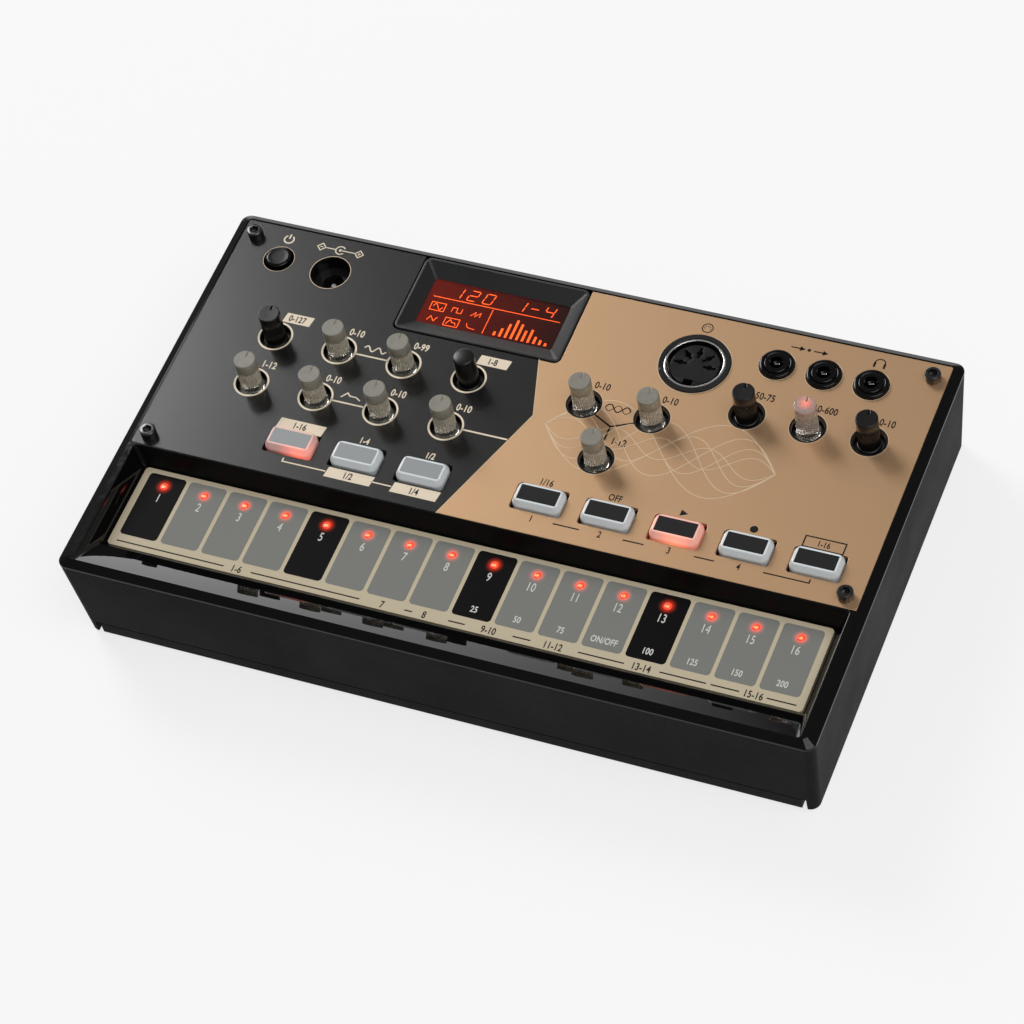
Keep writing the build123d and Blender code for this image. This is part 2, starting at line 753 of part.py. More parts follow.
def display_bezel():
    face = panel_top - window_drop
    top = panel_top + bezel_rise
    x, y = display_place
    bezel = rounded_block(display_place, bezel_length, bezel_depth, bezel_corner, deck_top, top)
    bezel += rounded_block(display_place, window_length + 2 * window_margin,
                           window_depth + 2 * window_margin, window_corner, face, deck_top)
    mouth = (x, y, top, bezel_length - 2 * bezel_lip, bezel_depth - 2 * bezel_lip, bezel_corner / 2)
    sight = (x, y, face, window_length, window_depth, window_corner)
    return bezel - funnel(sight, mouth)


def display_window():
    face = panel_top - window_drop
    return rounded_block(display_place, window_length + 2 * window_margin,
                         window_depth + 2 * window_margin, window_corner, face - window_thickness, face)


def display_module():
    top = panel_top - window_drop - window_thickness - module_gap
    return rounded_block(display_place, window_length + 2 * module_margin,
                         window_depth + 2 * module_margin, window_corner, board_top, top)


def dc_jack_body():
    face = panel_top - dc_well_depth
    bottom = face - dc_hole_depth - dc_floor
    half = dc_body_width / 2
    x, y = dc_place
    body = block(x - half, x + half, y - half, y + half, board_top, face)
    body += rod(dc_place, dc_barrel_radius, bottom, board_top)
    body -= rod(dc_place, dc_hole_radius, face - dc_hole_depth, face + over)
    return body


def dc_jack_pin():
    face = panel_top - dc_well_depth
    pin = rod((0, 0), dc_pin_radius, face - dc_hole_depth, face - dc_pin_drop)
    pin = fillet(pin.edges().group_by(Axis.Z)[-1], dc_pin_radius / 2)
    return Pos(*dc_place, 0) * pin


def din_socket_housing():
    cup = rod(din_place, din_radius, board_top, panel_top + din_rise)
    return cup - rod(din_place, din_shell_radius + thread_gap, board_top + din_floor, rim_top + over)


def din_socket_shell():
    bottom = board_top + din_floor
    top = panel_top + din_rise - din_shell_sink
    return rod(din_place, din_shell_radius, bottom, top) - rod(
        din_place, din_shell_radius - din_shell_wall, bottom - over, top + over)


def din_pole_places():
    return [(din_pole_circle * math.cos(math.radians(angle)), din_pole_circle * math.sin(math.radians(angle)))
            for angle in din_pole_angles]


def din_socket_insert():
    top = panel_top + din_rise - din_insert_sink
    insert = rod((0, 0), din_insert_radius, board_top + din_floor, top)
    for angle, place in zip(din_pole_angles, din_pole_places()):
        slot = Rot(0, 0, angle) * SlotOverall(din_slot_length, din_slot_width)
        insert -= extrude(Pos(*place, top - din_slot_depth) * slot, din_slot_depth + over)
        insert -= rod(place, din_slot_hole, top - din_slot_depth, top + over)
    insert -= block(-din_key_width / 2, din_key_width / 2, -din_insert_radius - over,
                    -din_insert_radius + din_key_depth, board_top, top + over)
    return Pos(*din_place, 0) * insert


def din_socket_contacts():
    bottom = panel_top + din_rise - din_insert_sink - din_slot_depth
    x, y = din_place
    return [rod((x + dx, y + dy), din_contact_radius, bottom, bottom + din_contact_length)
            for dx, dy in din_pole_places()]


def jack_body(place):
    x, y = place
    top = panel_top + jack_nose_rise
    bore_bottom = top - jack_bore_length
    half = jack_body_width / 2
    body = block(x - half, x + half, y - half, y + half, board_top, board_top + pot_height)
    nose = rod(place, jack_nose_radius, board_top + pot_height, top)
    body += fillet(nose.edges().group_by(Axis.Z)[-1], collar_round)
    body += rod(place, jack_barrel_radius, bore_bottom - jack_floor, board_top)
    body -= rod(place, jack_bore_radius, bore_bottom, top + over)
    return body - jack_window(place, jack_window_height)


def jack_window(place, height):
    # Slot in the far side of the bore's wall, in the nose.
    middle = panel_top + jack_nose_rise - jack_window_depth
    slot = block(-jack_window_width / 2, jack_window_width / 2, 0, jack_window_reach,
                 middle - height / 2, middle + height / 2)
    return Pos(*place, 0) * Rot(0, 0, jack_window_turn) * slot


def jack_contact(place):
    # A flat spring that fills the slot up to the bore.
    slot = jack_window(place, jack_contact_height)
    return slot - rod(place, jack_bore_radius + thread_gap, board_top, rim_top)


def jack_collar(place):
    top = panel_top + collar_rise
    ring = rod(place, collar_radius, deck_top, top)
    ring = fillet(ring.edges().group_by(Axis.Z)[-1], collar_round)
    return ring - rod(place, jack_nose_radius + hole_gap, deck_top - over, top + over)


def touch_strip():
    strip = rounded_block((0, (strip_front + strip_back) / 2), 2 * strip_half, strip_depth,
                          inner_radius, strip_bottom, strip_top)
    return strip - rods(led_places(), led_radius + led_hole_gap, 0, rim_top)


def led_places():
    middle = (key_count - 1) / 2
    return [((step - middle) * key_pitch, strip_back - led_inset) for step in range(key_count)]


def touch_board():
    board = tray_flange(touch_board_inset, touch_board_bottom, strip_bottom)
    return board - rods(touch_screws, board_screw_radius + fit_gap, 0, strip_bottom + over)


def control_board():
    board = block(-board_half, board_half, board_front_y, board_back_y, board_bottom, board_top)
    board -= rods(board_posts, board_screw_radius + fit_gap, 0, rim_top)
    board -= rods(jack_places, jack_barrel_radius + hole_gap, 0, rim_top)
    return board - rod(dc_place, dc_barrel_radius + hole_gap, 0, rim_top)


def board_components():
    parts = [block(x - length / 2, x + length / 2, y - depth / 2, y + depth / 2,
                   board_top, board_top + height) for x, y, length, depth, height in chips]
    parts += rods(capacitors, capacitor_radius, board_top, board_top + capacitor_height)
    connector_y = board_front_y + flex_connector_y
    half = flex_width / 2 + over
    parts.append(block(flex_x - half, flex_x + half, connector_y, connector_y + flex_connector,
                       board_top, board_top + flex_connector_height))
    return parts


def touch_flex_cable():
    # Flat cable against the touch board's underside, then up or down to its connector.
    board_edge = throat_back + tray_back_run
    entry = board_top + flex_entry
    line = [(board_edge - flex_start, touch_board_bottom - flex_thickness),
            (board_edge - touch_board_inset, touch_board_bottom - flex_thickness),
            (board_front_y - flex_thickness, entry),
            (board_front_y + flex_connector_y, entry)]
    upper = [(y, z + flex_thickness) for y, z in reversed(line)]
    profile = Polygon(*line, *upper, align=None)
    return Pos(flex_x, 0, 0) * extrude(Plane.YZ * profile, flex_width / 2, both=True)


def board_leds():
    length, depth, height = small_led
    leds = [block(x + small_led_offset - length / 2, x + small_led_offset + length / 2,
                  button_row_y - depth / 2, button_row_y + depth / 2, board_top, board_top + height)
            for x in step_buttons.values()]
    floor = board_top + bore_floor
    return leds + [rod(pointer_knobs["tempo_knob"], tempo_led_radius, floor, floor + tempo_led_height)]


def board_screws():
    size = (board_screw_radius, board_screw_length, board_screw_head, board_screw_head_height)
    screws = [small_screw(place, *size, touch_board_bottom) for place in touch_screws]
    return screws + [small_screw(place, *size, board_bottom) for place in board_posts]


def case_screw_set():
    seat = plate_bottom + case_screw_sink
    size = (case_screw_radius, case_screw_length, case_screw_head, case_screw_head_height)
    return [small_screw(place, *size, seat) for place in case_screws]


def turned(points):
    # Ring-shaped solid from a half section of (radius, height) points, at the speaker's place.
    return Pos(*speaker_place, plate_top) * revolve(Plane.XZ * Polygon(*points, align=None), Axis.Z)


def speaker_frame():
    return turned([
        (speaker_throat, 0), (speaker_radius, 0), (speaker_radius, speaker_flange),
        (speaker_radius - speaker_seat, speaker_flange), (speaker_back_radius, speaker_basket),
        (speaker_vent, speaker_basket), (speaker_vent, speaker_basket - speaker_sheet),
        (speaker_back_radius - speaker_sheet, speaker_basket - speaker_sheet),
        (speaker_throat, speaker_flange / 2)])


def speaker_cone():
    edge = speaker_throat - fit_gap
    middle = speaker_back_radius / 2
    depth = speaker_basket - 2 * speaker_sheet
    return turned([
        (edge, cone_lift), (edge, cone_lift + cone_sheet), (edge - cone_hem, cone_lift + cone_sheet),
        (middle, depth), (0, depth - cap_dip), (0, depth - cap_dip - cone_sheet),
        (middle, depth - cone_sheet), (edge - cone_hem, cone_lift)])


def speaker_magnet():
    return Pos(*speaker_place, plate_top + speaker_basket) * Cylinder(
        magnet_radius, magnet_height, align=(Align.CENTER, Align.CENTER, Align.MIN))


def lead(points):
    path = FilletPolyline(*points, radius=lead_bend)
    start = Plane(origin=path @ 0, z_dir=path % 0)
    return sweep(start * Circle(lead_radius), path)


def internal_leads():
    # Battery bay to control board, and speaker basket to control board.
    wall = bay_right + bay_wall
    away = wall + lead_run
    leads = [lead([(wall, y, cell_axis), (away, y, cell_axis), (away, y, board_bottom)])
             for y in (bay_back - lead_inset, bay_back - lead_inset - lead_pitch)]
    x, y = speaker_place
    rim = speaker_radius - speaker_seat / 2
    seat = plate_top + speaker_flange
    return leads + [rod((x + dx, y + math.sqrt(rim**2 - dx**2)), lead_radius, seat, board_bottom)
                    for dx in (-lead_pitch / 2, lead_pitch / 2)]


def foot(place):
    pad = rod((0, 0), foot_radius, 0, plate_bottom + foot_pocket)
    pad = chamfer(pad.edges().group_by(Axis.Z)[0], foot_edge)
    return Pos(*place, 0) * pad


os.makedirs("parts", exist_ok=True)

write("lower_case", lower_case())
write("bottom_plate", bottom_plate())
tray_half_of_frame, panel_half_of_frame = divided_frame()
write("tray_frame", tray_half_of_frame)
write("top_frame", panel_half_of_frame)
write("control_panel", control_panel())
write("battery_cover", battery_cover())
write("battery_cells", *battery_cells())
write("battery_contacts", *battery_contacts())
write("panel_screws", *[panel_screw(place) for place in panel_screws])
write("case_and_board_screws", *case_screw_set(), *board_screws())
write("rubber_feet", *[foot(place) for place in feet])
write("touch_strip", touch_strip())
write("step_leds", *rods(led_places(), led_radius, strip_bottom, strip_top - led_sink))
write("touch_board", touch_board())
write("touch_flex_cable", touch_flex_cable())
write("control_board", control_board())
write("board_components", *board_components())
write("board_leds", *board_leds())
write("display_bezel", display_bezel())
write("display_window", display_window())
write("display_module", display_module())
write("potentiometer_bodies", *[dial_body(place, pot_width, pot_depth) for place in pointer_knobs.values()])
write("encoder_body", dial_body(select_knob_place, encoder_width, encoder_depth))
write("push_switches", *[push_switch((x, button_row_y)) for x in step_buttons.values()],
      push_switch(power_place))
write("dc_jack_body", dc_jack_body())
write("dc_jack_pin", dc_jack_pin())
write("din_socket_housing", din_socket_housing())
write("din_socket_shell", din_socket_shell())
write("din_socket_insert", din_socket_insert())
write("din_socket_contacts", *din_socket_contacts())
write("mini_jack_bodies", *[jack_body(place) for place in jack_places])
write("mini_jack_collars", *[jack_collar(place) for place in jack_places])
write("mini_jack_contacts", *[jack_contact(place) for place in jack_places])
write("speaker_frame", speaker_frame())
write("speaker_cone", speaker_cone())
write("speaker_magnet", speaker_magnet())
write("internal_leads", *internal_leads())

pointer_knob = knob(ribbed=True, pointer=True)
for name, place in pointer_knobs.items():
    write(name, Pos(*place, 0) * pointer_knob)
write("select_knob", Pos(*select_knob_place, 0) * knob(ribbed=False, pointer=False))

button = push_button()
for name, x in step_buttons.items():
    write(name, Pos(x, button_row_y, 0) * button)
write("power_button", power_button())
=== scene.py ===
import json
import math

import bmesh
import bpy
from mathutils import Matrix, Vector

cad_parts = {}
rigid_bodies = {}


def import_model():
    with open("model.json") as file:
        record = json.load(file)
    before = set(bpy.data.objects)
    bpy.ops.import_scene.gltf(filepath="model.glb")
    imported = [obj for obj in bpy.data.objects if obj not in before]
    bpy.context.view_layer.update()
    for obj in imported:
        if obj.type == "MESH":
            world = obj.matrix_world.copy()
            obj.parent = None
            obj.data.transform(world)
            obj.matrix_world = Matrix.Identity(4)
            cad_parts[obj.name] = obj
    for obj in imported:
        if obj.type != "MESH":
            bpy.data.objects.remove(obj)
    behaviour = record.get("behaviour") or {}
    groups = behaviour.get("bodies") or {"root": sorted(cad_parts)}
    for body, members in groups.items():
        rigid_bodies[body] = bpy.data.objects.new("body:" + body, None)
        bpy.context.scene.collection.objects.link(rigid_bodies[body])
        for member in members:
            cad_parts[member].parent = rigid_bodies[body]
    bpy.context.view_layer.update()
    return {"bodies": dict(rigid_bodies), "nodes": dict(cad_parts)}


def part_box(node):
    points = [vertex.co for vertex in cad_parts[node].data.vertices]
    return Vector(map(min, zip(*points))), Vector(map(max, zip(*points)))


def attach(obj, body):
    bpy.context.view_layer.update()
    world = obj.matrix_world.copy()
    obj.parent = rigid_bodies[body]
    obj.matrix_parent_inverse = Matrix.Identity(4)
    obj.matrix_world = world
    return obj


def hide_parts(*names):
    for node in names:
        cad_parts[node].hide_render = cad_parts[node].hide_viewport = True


for leftover in list(bpy.data.objects):
    bpy.data.objects.remove(leftover)

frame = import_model()
nodes = frame["nodes"]
scene = bpy.context.scene
mm = 0.001  # every size below is in millimetres, the meshes are made in metres
plainWhite = (1, 1, 1, 1)
print("frame loaded:", len(nodes), "nodes")


# camera, floor and light

cameraSetup = {
    "place": (301.53, -484.02, 752.82),
    "aim": (1.82, -7.09, 20.0),
    "roll": -13.41,  # degrees, tips the picture to the right
    "lens": 134.6,
}

lamps = {
    "keySoftbox": {"place": (-1165, 800, 1030), "aim": (-20, 0, 30), "size": (620, 820), "power": 17.5},
    "fillSoftbox": {"place": (560, -220, 1120), "aim": (0, 0, 30), "size": (900, 900), "power": 8.6},
}

studio = {
    "skyLight": 0.21,
    "floorColour": (0.80, 0.80, 0.80, 1.0),
    "floorWhite": 0.74,  # how much of the floor the camera sees as plain white
    "floorSize": 6000,
}

glowCard = {  # upright card behind on the left, bright at its left end, mirrored in the glossy slopes
    "away": 1900,
    "leftTurn": 40,  # degrees from straight behind
    "brightTurn": 27,
    "rightTurn": 12,
    "top": 700,
    "bright": 2.3,
    "dim": 0.08,
}


def aimAt(thing, target):
    direction = Vector(target) * mm - thing.location
    thing.rotation_euler = direction.to_track_quat("-Z", "Y").to_euler()


def makeCamera():
    camera = bpy.data.objects.new("camera", bpy.data.cameras.new("camera"))
    scene.collection.objects.link(camera)
    camera.location = Vector(cameraSetup["place"]) * mm
    direction = Vector(cameraSetup["aim"]) * mm - camera.location
    level = direction.to_track_quat("-Z", "Y").to_matrix()
    roll = Matrix.Rotation(math.radians(cameraSetup["roll"]), 3, "Z")
    camera.rotation_euler = (level @ roll).to_euler()
    camera.data.lens = cameraSetup["lens"]
    camera.data.clip_start = 0.05
    scene.camera = camera


def makeLamps():
    for name, lamp in lamps.items():
        data = bpy.data.lights.new(name, "AREA")
        data.shape = "RECTANGLE"
        data.size, data.size_y = [side * mm for side in lamp["size"]]
        data.energy = lamp["power"]
        thing = bpy.data.objects.new(name, data)
        scene.collection.objects.link(thing)
        thing.location = Vector(lamp["place"]) * mm
        aimAt(thing, lamp["aim"])


def addNode(tree, kind, inputs=None, **settings):
    node = tree.nodes.new("ShaderNode" + kind)
    for key, value in settings.items():
        setattr(node, key, value)
    for key, value in (inputs or {}).items():
        if isinstance(value, bpy.types.NodeSocket):
            tree.links.new(value, node.inputs[key])
        else:
            node.inputs[key].default_value = value
    return node


def calc(tree, operation, *values):
    return addNode(tree, "Math", dict(enumerate(values)), operation=operation).outputs[0]


def remap(tree, value, low, high, fromLow=0.0, fromHigh=1.0):
    sockets = {"Value": value, "From Min": fromLow, "From Max": fromHigh, "To Min": low, "To Max": high}
    return addNode(tree, "MapRange", sockets).outputs[0]


def mixColour(tree, share, first, second):
    return addNode(tree, "Mix", {0: share, 6: first, 7: second}, data_type="RGBA").outputs[2]


def objectPlace(tree):
    return addNode(tree, "TexCoord").outputs["Object"]


def noise(tree, where, size, detail=2.0):
    # soft noise with blotches of this size in millimetres
    sockets = {"Vector": where, "Scale": 1 / (size * mm), "Detail": detail}
    return addNode(tree, "TexNoise", sockets).outputs[0]


def makeWorld():
    world = bpy.data.worlds.new("studio")
    scene.world = world
    world.use_nodes = True
    tree = world.node_tree
    tree.nodes.clear()
    sky = addNode(tree, "Background", {"Color": plainWhite, "Strength": studio["skyLight"]})
    addNode(tree, "OutputWorld", {0: sky.outputs[0]})


def stageSheet(name, corners):
    # flat sheet of the stage, and the empty node tree of its material
    mesh = bpy.data.meshes.new(name)
    mesh.from_pydata([Vector(corner) * mm for corner in corners], [], [(0, 1, 2, 3)])
    sheet = bpy.data.objects.new(name, mesh)
    scene.collection.objects.link(sheet)
    material = bpy.data.materials.new(name)
    material.use_nodes = True
    material.node_tree.nodes.clear()
    mesh.materials.append(material)
    return sheet, material.node_tree


def makeFloor():
    half = studio["floorSize"] / 2
    corners = [(x * half, y * half, 0) for x, y in ((-1, -1), (1, -1), (1, 1), (-1, 1))]
    floor, tree = stageSheet("floor", corners)
    path = addNode(tree, "LightPath")
    seen = path.outputs["Is Camera Ray"]
    for ray in ("Is Glossy Ray", "Is Transmission Ray"):
        seen = calc(tree, "MAXIMUM", seen, path.outputs[ray])
    share = calc(tree, "MULTIPLY", seen, studio["floorWhite"])
    paper = addNode(tree, "BsdfDiffuse", {"Color": studio["floorColour"]})
    white = addNode(tree, "Emission", {"Color": plainWhite, "Strength": 1.0})
    blend = addNode(tree, "MixShader", {0: share, 1: paper.outputs[0], 2: white.outputs[0]})
    addNode(tree, "OutputMaterial", {0: blend.outputs[0]})


def makeGlowCard():
    c = glowCard
    turns = [math.radians(c[end]) for end in ("leftTurn", "brightTurn", "rightTurn")]
    left, bright, right = [(-c["away"] * math.sin(turn), c["away"] * math.cos(turn)) for turn in turns]
    card, tree = stageSheet("glowCard", ((*left, 0), (*right, 0), (*right, c["top"]), (*left, c["top"])))
    card.visible_camera = False
    card.visible_shadow = False
    across = addNode(tree, "SeparateXYZ", {0: objectPlace(tree)}).outputs[0]
    fade = remap(tree, across, c["bright"], c["dim"], bright[0] * mm, right[0] * mm)
    light = addNode(tree, "Emission", {"Color": plainWhite, "Strength": fade})
    addNode(tree, "OutputMaterial", {0: light.outputs[0]})


scene.view_settings.view_transform = "Standard"
makeCamera()
makeLamps()
makeWorld()
makeFloor()
makeGlowCard()
print("camera, lamps, floor and glow card are set")


# finishes

usual = {  # what a finish has where it says nothing else
    "drift": 18,  # size of the blotches in its colour and roughness
    "vary": 0.12,  # how much darker the darkest blotches are
    "pattern": "noise",
    "stretch": (1, 1, 1),
    "grainShare": 0.35,  # of the roughness, the rest follows the blotches
    "noiseSpan": (0.3, 0.7),  # values of the noise at the lowest and the highest roughness
    "relief": 0.4,  # depth of the grain, as a share of its size
}
socketNames = {  # short names for the shader's own sockets; scatterScale is in metres
    "specular": "Specular IOR Level", "metal": "Metallic",
    "coat": "Coat Weight", "coatRough": "Coat Roughness",
    "clear": "Transmission Weight", "ior": "IOR",
    "scatter": "Subsurface Weight", "scatterScale": "Subsurface Scale", "scatterRadius": "Subsurface Radius",
}


def surface(colour, rough, grain, bump, **more):
    # colour, lowest and highest roughness, size and strength of the grain, and what isn't usual
    sockets = {socketNames[key]: more.pop(key) for key in list(more) if key in socketNames}
    look = {"colour": colour, "rough": rough, "grain": grain, "bump": bump, "sockets": sockets}
    return {**usual, **look, **more}


def startMaterial(name, sockets):
    material = bpy.data.materials.new(name)
    material.use_nodes = True
    tree = material.node_tree
    shader = tree.nodes["Principled BSDF"]
    for key, value in sockets.items():
        shader.inputs[key].default_value = value
    return material, tree, shader


def grainOf(tree, where, look):
    # fine relief of the surface, as a height from 0 to 1
    if look["pattern"] == "cells":
        cells = {"Vector": where, "Scale": 1 / (look["grain"] * mm)}
        return addNode(tree, "TexVoronoi", cells, feature="SMOOTH_F1").outputs[0]
    stretched = addNode(tree, "Mapping", {"Vector": where, "Scale": look["stretch"]}).outputs[0]
    return noise(tree, stretched, look["grain"], 3.0)


def dress(tree, shader, look, colour=None):
    # colour that drifts a little, roughness that drifts with it, grain in the bump
    where = objectPlace(tree)
    drift = noise(tree, where, look["drift"], 4.0)
    grain = grainOf(tree, where, look)
    colour = colour or (*look["colour"], 1)
    dim = addNode(tree, "HueSaturation", {"Value": 1 - look["vary"], "Color": colour}).outputs[0]
    tree.links.new(mixColour(tree, drift, dim, colour), shader.inputs["Base Color"])
    bump = addNode(tree, "Bump", {"Height": grain, "Strength": look["bump"],
                                  "Distance": look["grain"] * mm * look["relief"]})
    tree.links.new(bump.outputs[0], shader.inputs["Normal"])
    if "rough" in look:
        share = look["grainShare"]
        mixed = calc(tree, "MULTIPLY_ADD", grain, share, calc(tree, "MULTIPLY", drift, 1 - share))
        tree.links.new(remap(tree, mixed, *look["rough"], *look["noiseSpan"]), shader.inputs["Roughness"])


def plainFinish(name, look):
    material, tree, shader = startMaterial(name, look["sockets"])
    dress(tree, shader, look)
    return material


looks = {
    "casePlastic": surface((0.0048, 0.0048, 0.005), (0.48, 0.62), 0.22, 0.6, pattern="cells",
                           specular=0.05),
    "glossBlack": surface((0.0022, 0.0022, 0.0024), (0.05, 0.1), 2.5, 0.01, specular=0.25),
    "trayBlack": surface((0.0022, 0.0022, 0.0024), (0.38, 0.48), 2.5, 0.01, specular=0.16),
    "slopeBlack": surface((0.0025, 0.0025, 0.0027), (0.0, 0.02), 3.0, 0.004, specular=0.62),
    "bezelPlastic": surface((0.01, 0.0105, 0.011), (0.3, 0.4), 0.12, 0.15),
    "touchLaminate": surface((0.008, 0.01, 0.009), (0.3, 0.45), 0.5, 0.1),
    "boardLaminate": surface((0.012, 0.09, 0.035), (0.25, 0.4), 0.5, 0.1, coat=0.4),
    "flatCable": surface((0.7, 0.7, 0.66), (0.3, 0.45), 0.8, 0.3, stretch=(6, 0.2, 1)),
    "chipPlastic": surface((0.015, 0.015, 0.016), (0.5, 0.65), 0.08, 0.3),
    "blackSteel": surface((0.06, 0.06, 0.062), (0.14, 0.26), 0.3, 0.06, metal=0.85, coat=0.4,
                          coatRough=0.12),
    "brightSteel": surface((0.62, 0.62, 0.61), (0.18, 0.3), 0.2, 0.08, metal=1.0),
    "footRubber": surface((0.018, 0.018, 0.018), (0.72, 0.88), 0.25, 0.5),
    "cellCan": surface((0.1, 0.105, 0.12), (0.2, 0.32), 3.0, 0.05, metal=0.6),
    "dialPlastic": surface((0.03, 0.03, 0.032), (0.3, 0.45), 0.15, 0.15),
    "socketPlastic": surface((0.01, 0.01, 0.011), (0.16, 0.28), 0.35, 0.08),
    "insertPlastic": surface((0.006, 0.006, 0.0065), (0.35, 0.5), 0.18, 0.3, specular=0.18),
    "contactMetal": surface((0.86, 0.84, 0.78), (0.12, 0.2), 0.2, 0.08, metal=1.0),
    "brightShell": surface((0.86, 0.85, 0.82), (0.12, 0.22), 0.25, 0.1, metal=1.0),
    "conePaper": surface((0.03, 0.03, 0.032), (0.8, 0.95), 0.5, 0.6),
    "magnetIron": surface((0.22, 0.22, 0.22), (0.3, 0.5), 0.4, 0.2, metal=0.9),
    "leadSleeve": surface((0.35, 0.02, 0.02), (0.35, 0.5), 0.5, 0.15),
    "blackKnob": surface((0.0055, 0.0053, 0.0052), (0.24, 0.36), 0.12, 0.15, specular=0.36),
    "powerTop": surface((0.006, 0.0065, 0.008), (0.3, 0.42), 0.5, 0.05, specular=0.22),
    "pinMetal": surface((0.3, 0.29, 0.27), (0.25, 0.35), 0.2, 0.08, metal=1.0),
    "buttonInk": surface((0.012, 0.0115, 0.0115), (0.5, 0.62), 0.1, 0.15, specular=0.16),
    "buttonGreyInk": surface((0.27, 0.285, 0.29), (0.42, 0.55), 0.1, 0.15),
    "creamInk": surface((0.74, 0.63, 0.48), (0.5, 0.6), 0.1, 0.1, vary=0.05),
    "paleInk": surface((0.56, 0.555, 0.52), (0.5, 0.6), 0.1, 0.1, vary=0.05),
    "waveInk": surface((0.64, 0.49, 0.33), (0.38, 0.5), 0.1, 0.1, vary=0.05),
    "blackInk": surface((0.006, 0.0055, 0.005), (0.45, 0.58), 0.1, 0.1, specular=0.15),
    "clearSide": surface((0.8, 0.72, 0.585), (0.2, 0.32), 0.35, 0.1, vary=0.12, drift=1.6,
                         stretch=(3, 3, 0.5), clear=0.5, ior=1.49, scatter=0.35, scatterScale=0.002,
                         scatterRadius=(1.0, 0.9, 0.7)),
    "clearHead": surface((0.47, 0.44, 0.355), (0.24, 0.36), 0.35, 0.12, vary=0.2, drift=1.6,
                         stretch=(2, 2, 0.6), clear=0.3, ior=1.49, scatter=0.3, scatterScale=0.002,
                         scatterRadius=(1.0, 0.9, 0.7)),
    "clearBase": surface((0.8, 0.78, 0.72), (0.05, 0.12), 1.2, 0.05, vary=0.05, clear=0.92, ior=1.49),
    "clearTop": surface((0.245, 0.233, 0.19), (0.34, 0.48), 0.13, 0.5, vary=0.34, drift=1.4, clear=0.1,
                        ior=1.49),
    "tempoSide": surface((0.86, 0.76, 0.68), (0.12, 0.22), 0.6, 0.1, vary=0.18, drift=1.6, clear=0.7,
                         ior=1.49),
    "redWindow": surface((0.9, 0.34, 0.22), (0.0, 0.012), 4.0, 0.004, vary=0.03, clear=1.0, ior=1.49,
                         specular=0.12),
    "clearButton": surface((0.72, 0.765, 0.785), (0.26, 0.36), 0.3, 0.05, vary=0.05, scatter=0.25,
                           scatterScale=0.0015, scatterRadius=(1.0, 1.0, 1.0), ior=1.49, coat=0.25,
                           coatRough=0.12),
}
finish = {name: plainFinish(name, look) for name, look in looks.items()}

panelLook = {
    **usual,
    "gold": (0.492, 0.308, 0.172, 1),
    "dark": (0.0066, 0.0062, 0.0056, 1),
    "bendHigh": (-4.8, 31.8),  # where the two colours meet, from the display down
    "bend": (0.1, 15.1),
    "bendLow": (-12.0, -18.7),
    "goldRough": 0.43,
    "darkRough": 0.215,
    "goldMetal": 0.76,  # share of metal flake in the gold paint
    "grain": 0.06,
    "bump": 0.08,
    "drift": 45,
    "vary": 0.03,
    "speck": (0.35, 0.05),  # size of the flakes, and what they add to the roughness
    "sockets": {"Specular IOR Level": 0.50},
}


def panelFinish():
    p = panelLook
    material, tree, shader = startMaterial("panelFinish", p["sockets"])
    place = addNode(tree, "SeparateXYZ", {0: objectPlace(tree)})
    edges = []
    for end in ("bendHigh", "bendLow"):
        (x0, y0), (x1, y1) = p["bend"], p[end]
        slope = (x1 - x0) / (y1 - y0)
        edges.append(calc(tree, "MULTIPLY_ADD", place.outputs[1], slope, (x0 - slope * y0) * mm))
    isDark = calc(tree, "LESS_THAN", place.outputs[0], calc(tree, "MINIMUM", *edges))
    dress(tree, shader, p, mixColour(tree, isDark, p["gold"], p["dark"]))
    tree.links.new(remap(tree, isDark, p["goldMetal"], 0.0), shader.inputs["Metallic"])
    size, share = p["speck"]
    roughness = remap(tree, isDark, p["goldRough"], p["darkRough"])
    rough = calc(tree, "MULTIPLY_ADD", noise(tree, objectPlace(tree), size), share, roughness)
    tree.links.new(rough, shader.inputs["Roughness"])
    return material


ledLook = {
    "red": (1.0, 0.055, 0.018, 1),
    "hot": (1.0, 0.36, 0.13, 1),
    "strength": 1.8,
    "hotRadius": 0.40,
    "radius": 0.95,
    "glowReach": 1.7,  # past the lens, on the film round it
    "glow": 0.7,
    "glowFall": 2.6,
    "core": (0.5, 1.6),  # shares of the hot radius, between which the core fades
    "ripple": 10 / 9,  # size of the unevenness in the core
    "rim": 0.42,  # share of the strength at the lens's rim
    "lens": {"Base Color": (0.5, 0.03, 0.015, 1), "Roughness": 0.12},
}
keyPitch = 11.0
ledRow = (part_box("step_leds")[0].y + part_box("step_leds")[1].y) / 2 / mm


def ledDistance(tree):
    # distance from the nearest lamp of the row, in millimetres
    place = addNode(tree, "SeparateXYZ", {0: objectPlace(tree)})
    step = calc(tree, "MULTIPLY", place.outputs[0], 1 / (keyPitch * mm))
    across = calc(tree, "MULTIPLY", calc(tree, "SUBTRACT", calc(tree, "FRACT", step), 0.5), keyPitch)
    along = calc(tree, "MULTIPLY_ADD", place.outputs[1], 1 / mm, -ledRow)
    return calc(tree, "SQRT", calc(tree, "ADD", calc(tree, "MULTIPLY", across, across),
                                   calc(tree, "MULTIPLY", along, along)))


def glowingFilm(name, look):
    # printed film that a lamp under it lights up round its lens
    lens = ledLook["radius"]
    material, tree, shader = startMaterial(name, look["sockets"])
    dress(tree, shader, look)
    fade = remap(tree, ledDistance(tree), 1.0, 0.0, lens, lens + ledLook["glowReach"])
    strength = calc(tree, "MULTIPLY", calc(tree, "POWER", fade, ledLook["glowFall"]), ledLook["glow"])
    shader.inputs["Emission Color"].default_value = ledLook["red"]
    tree.links.new(strength, shader.inputs["Emission Strength"])
    return material


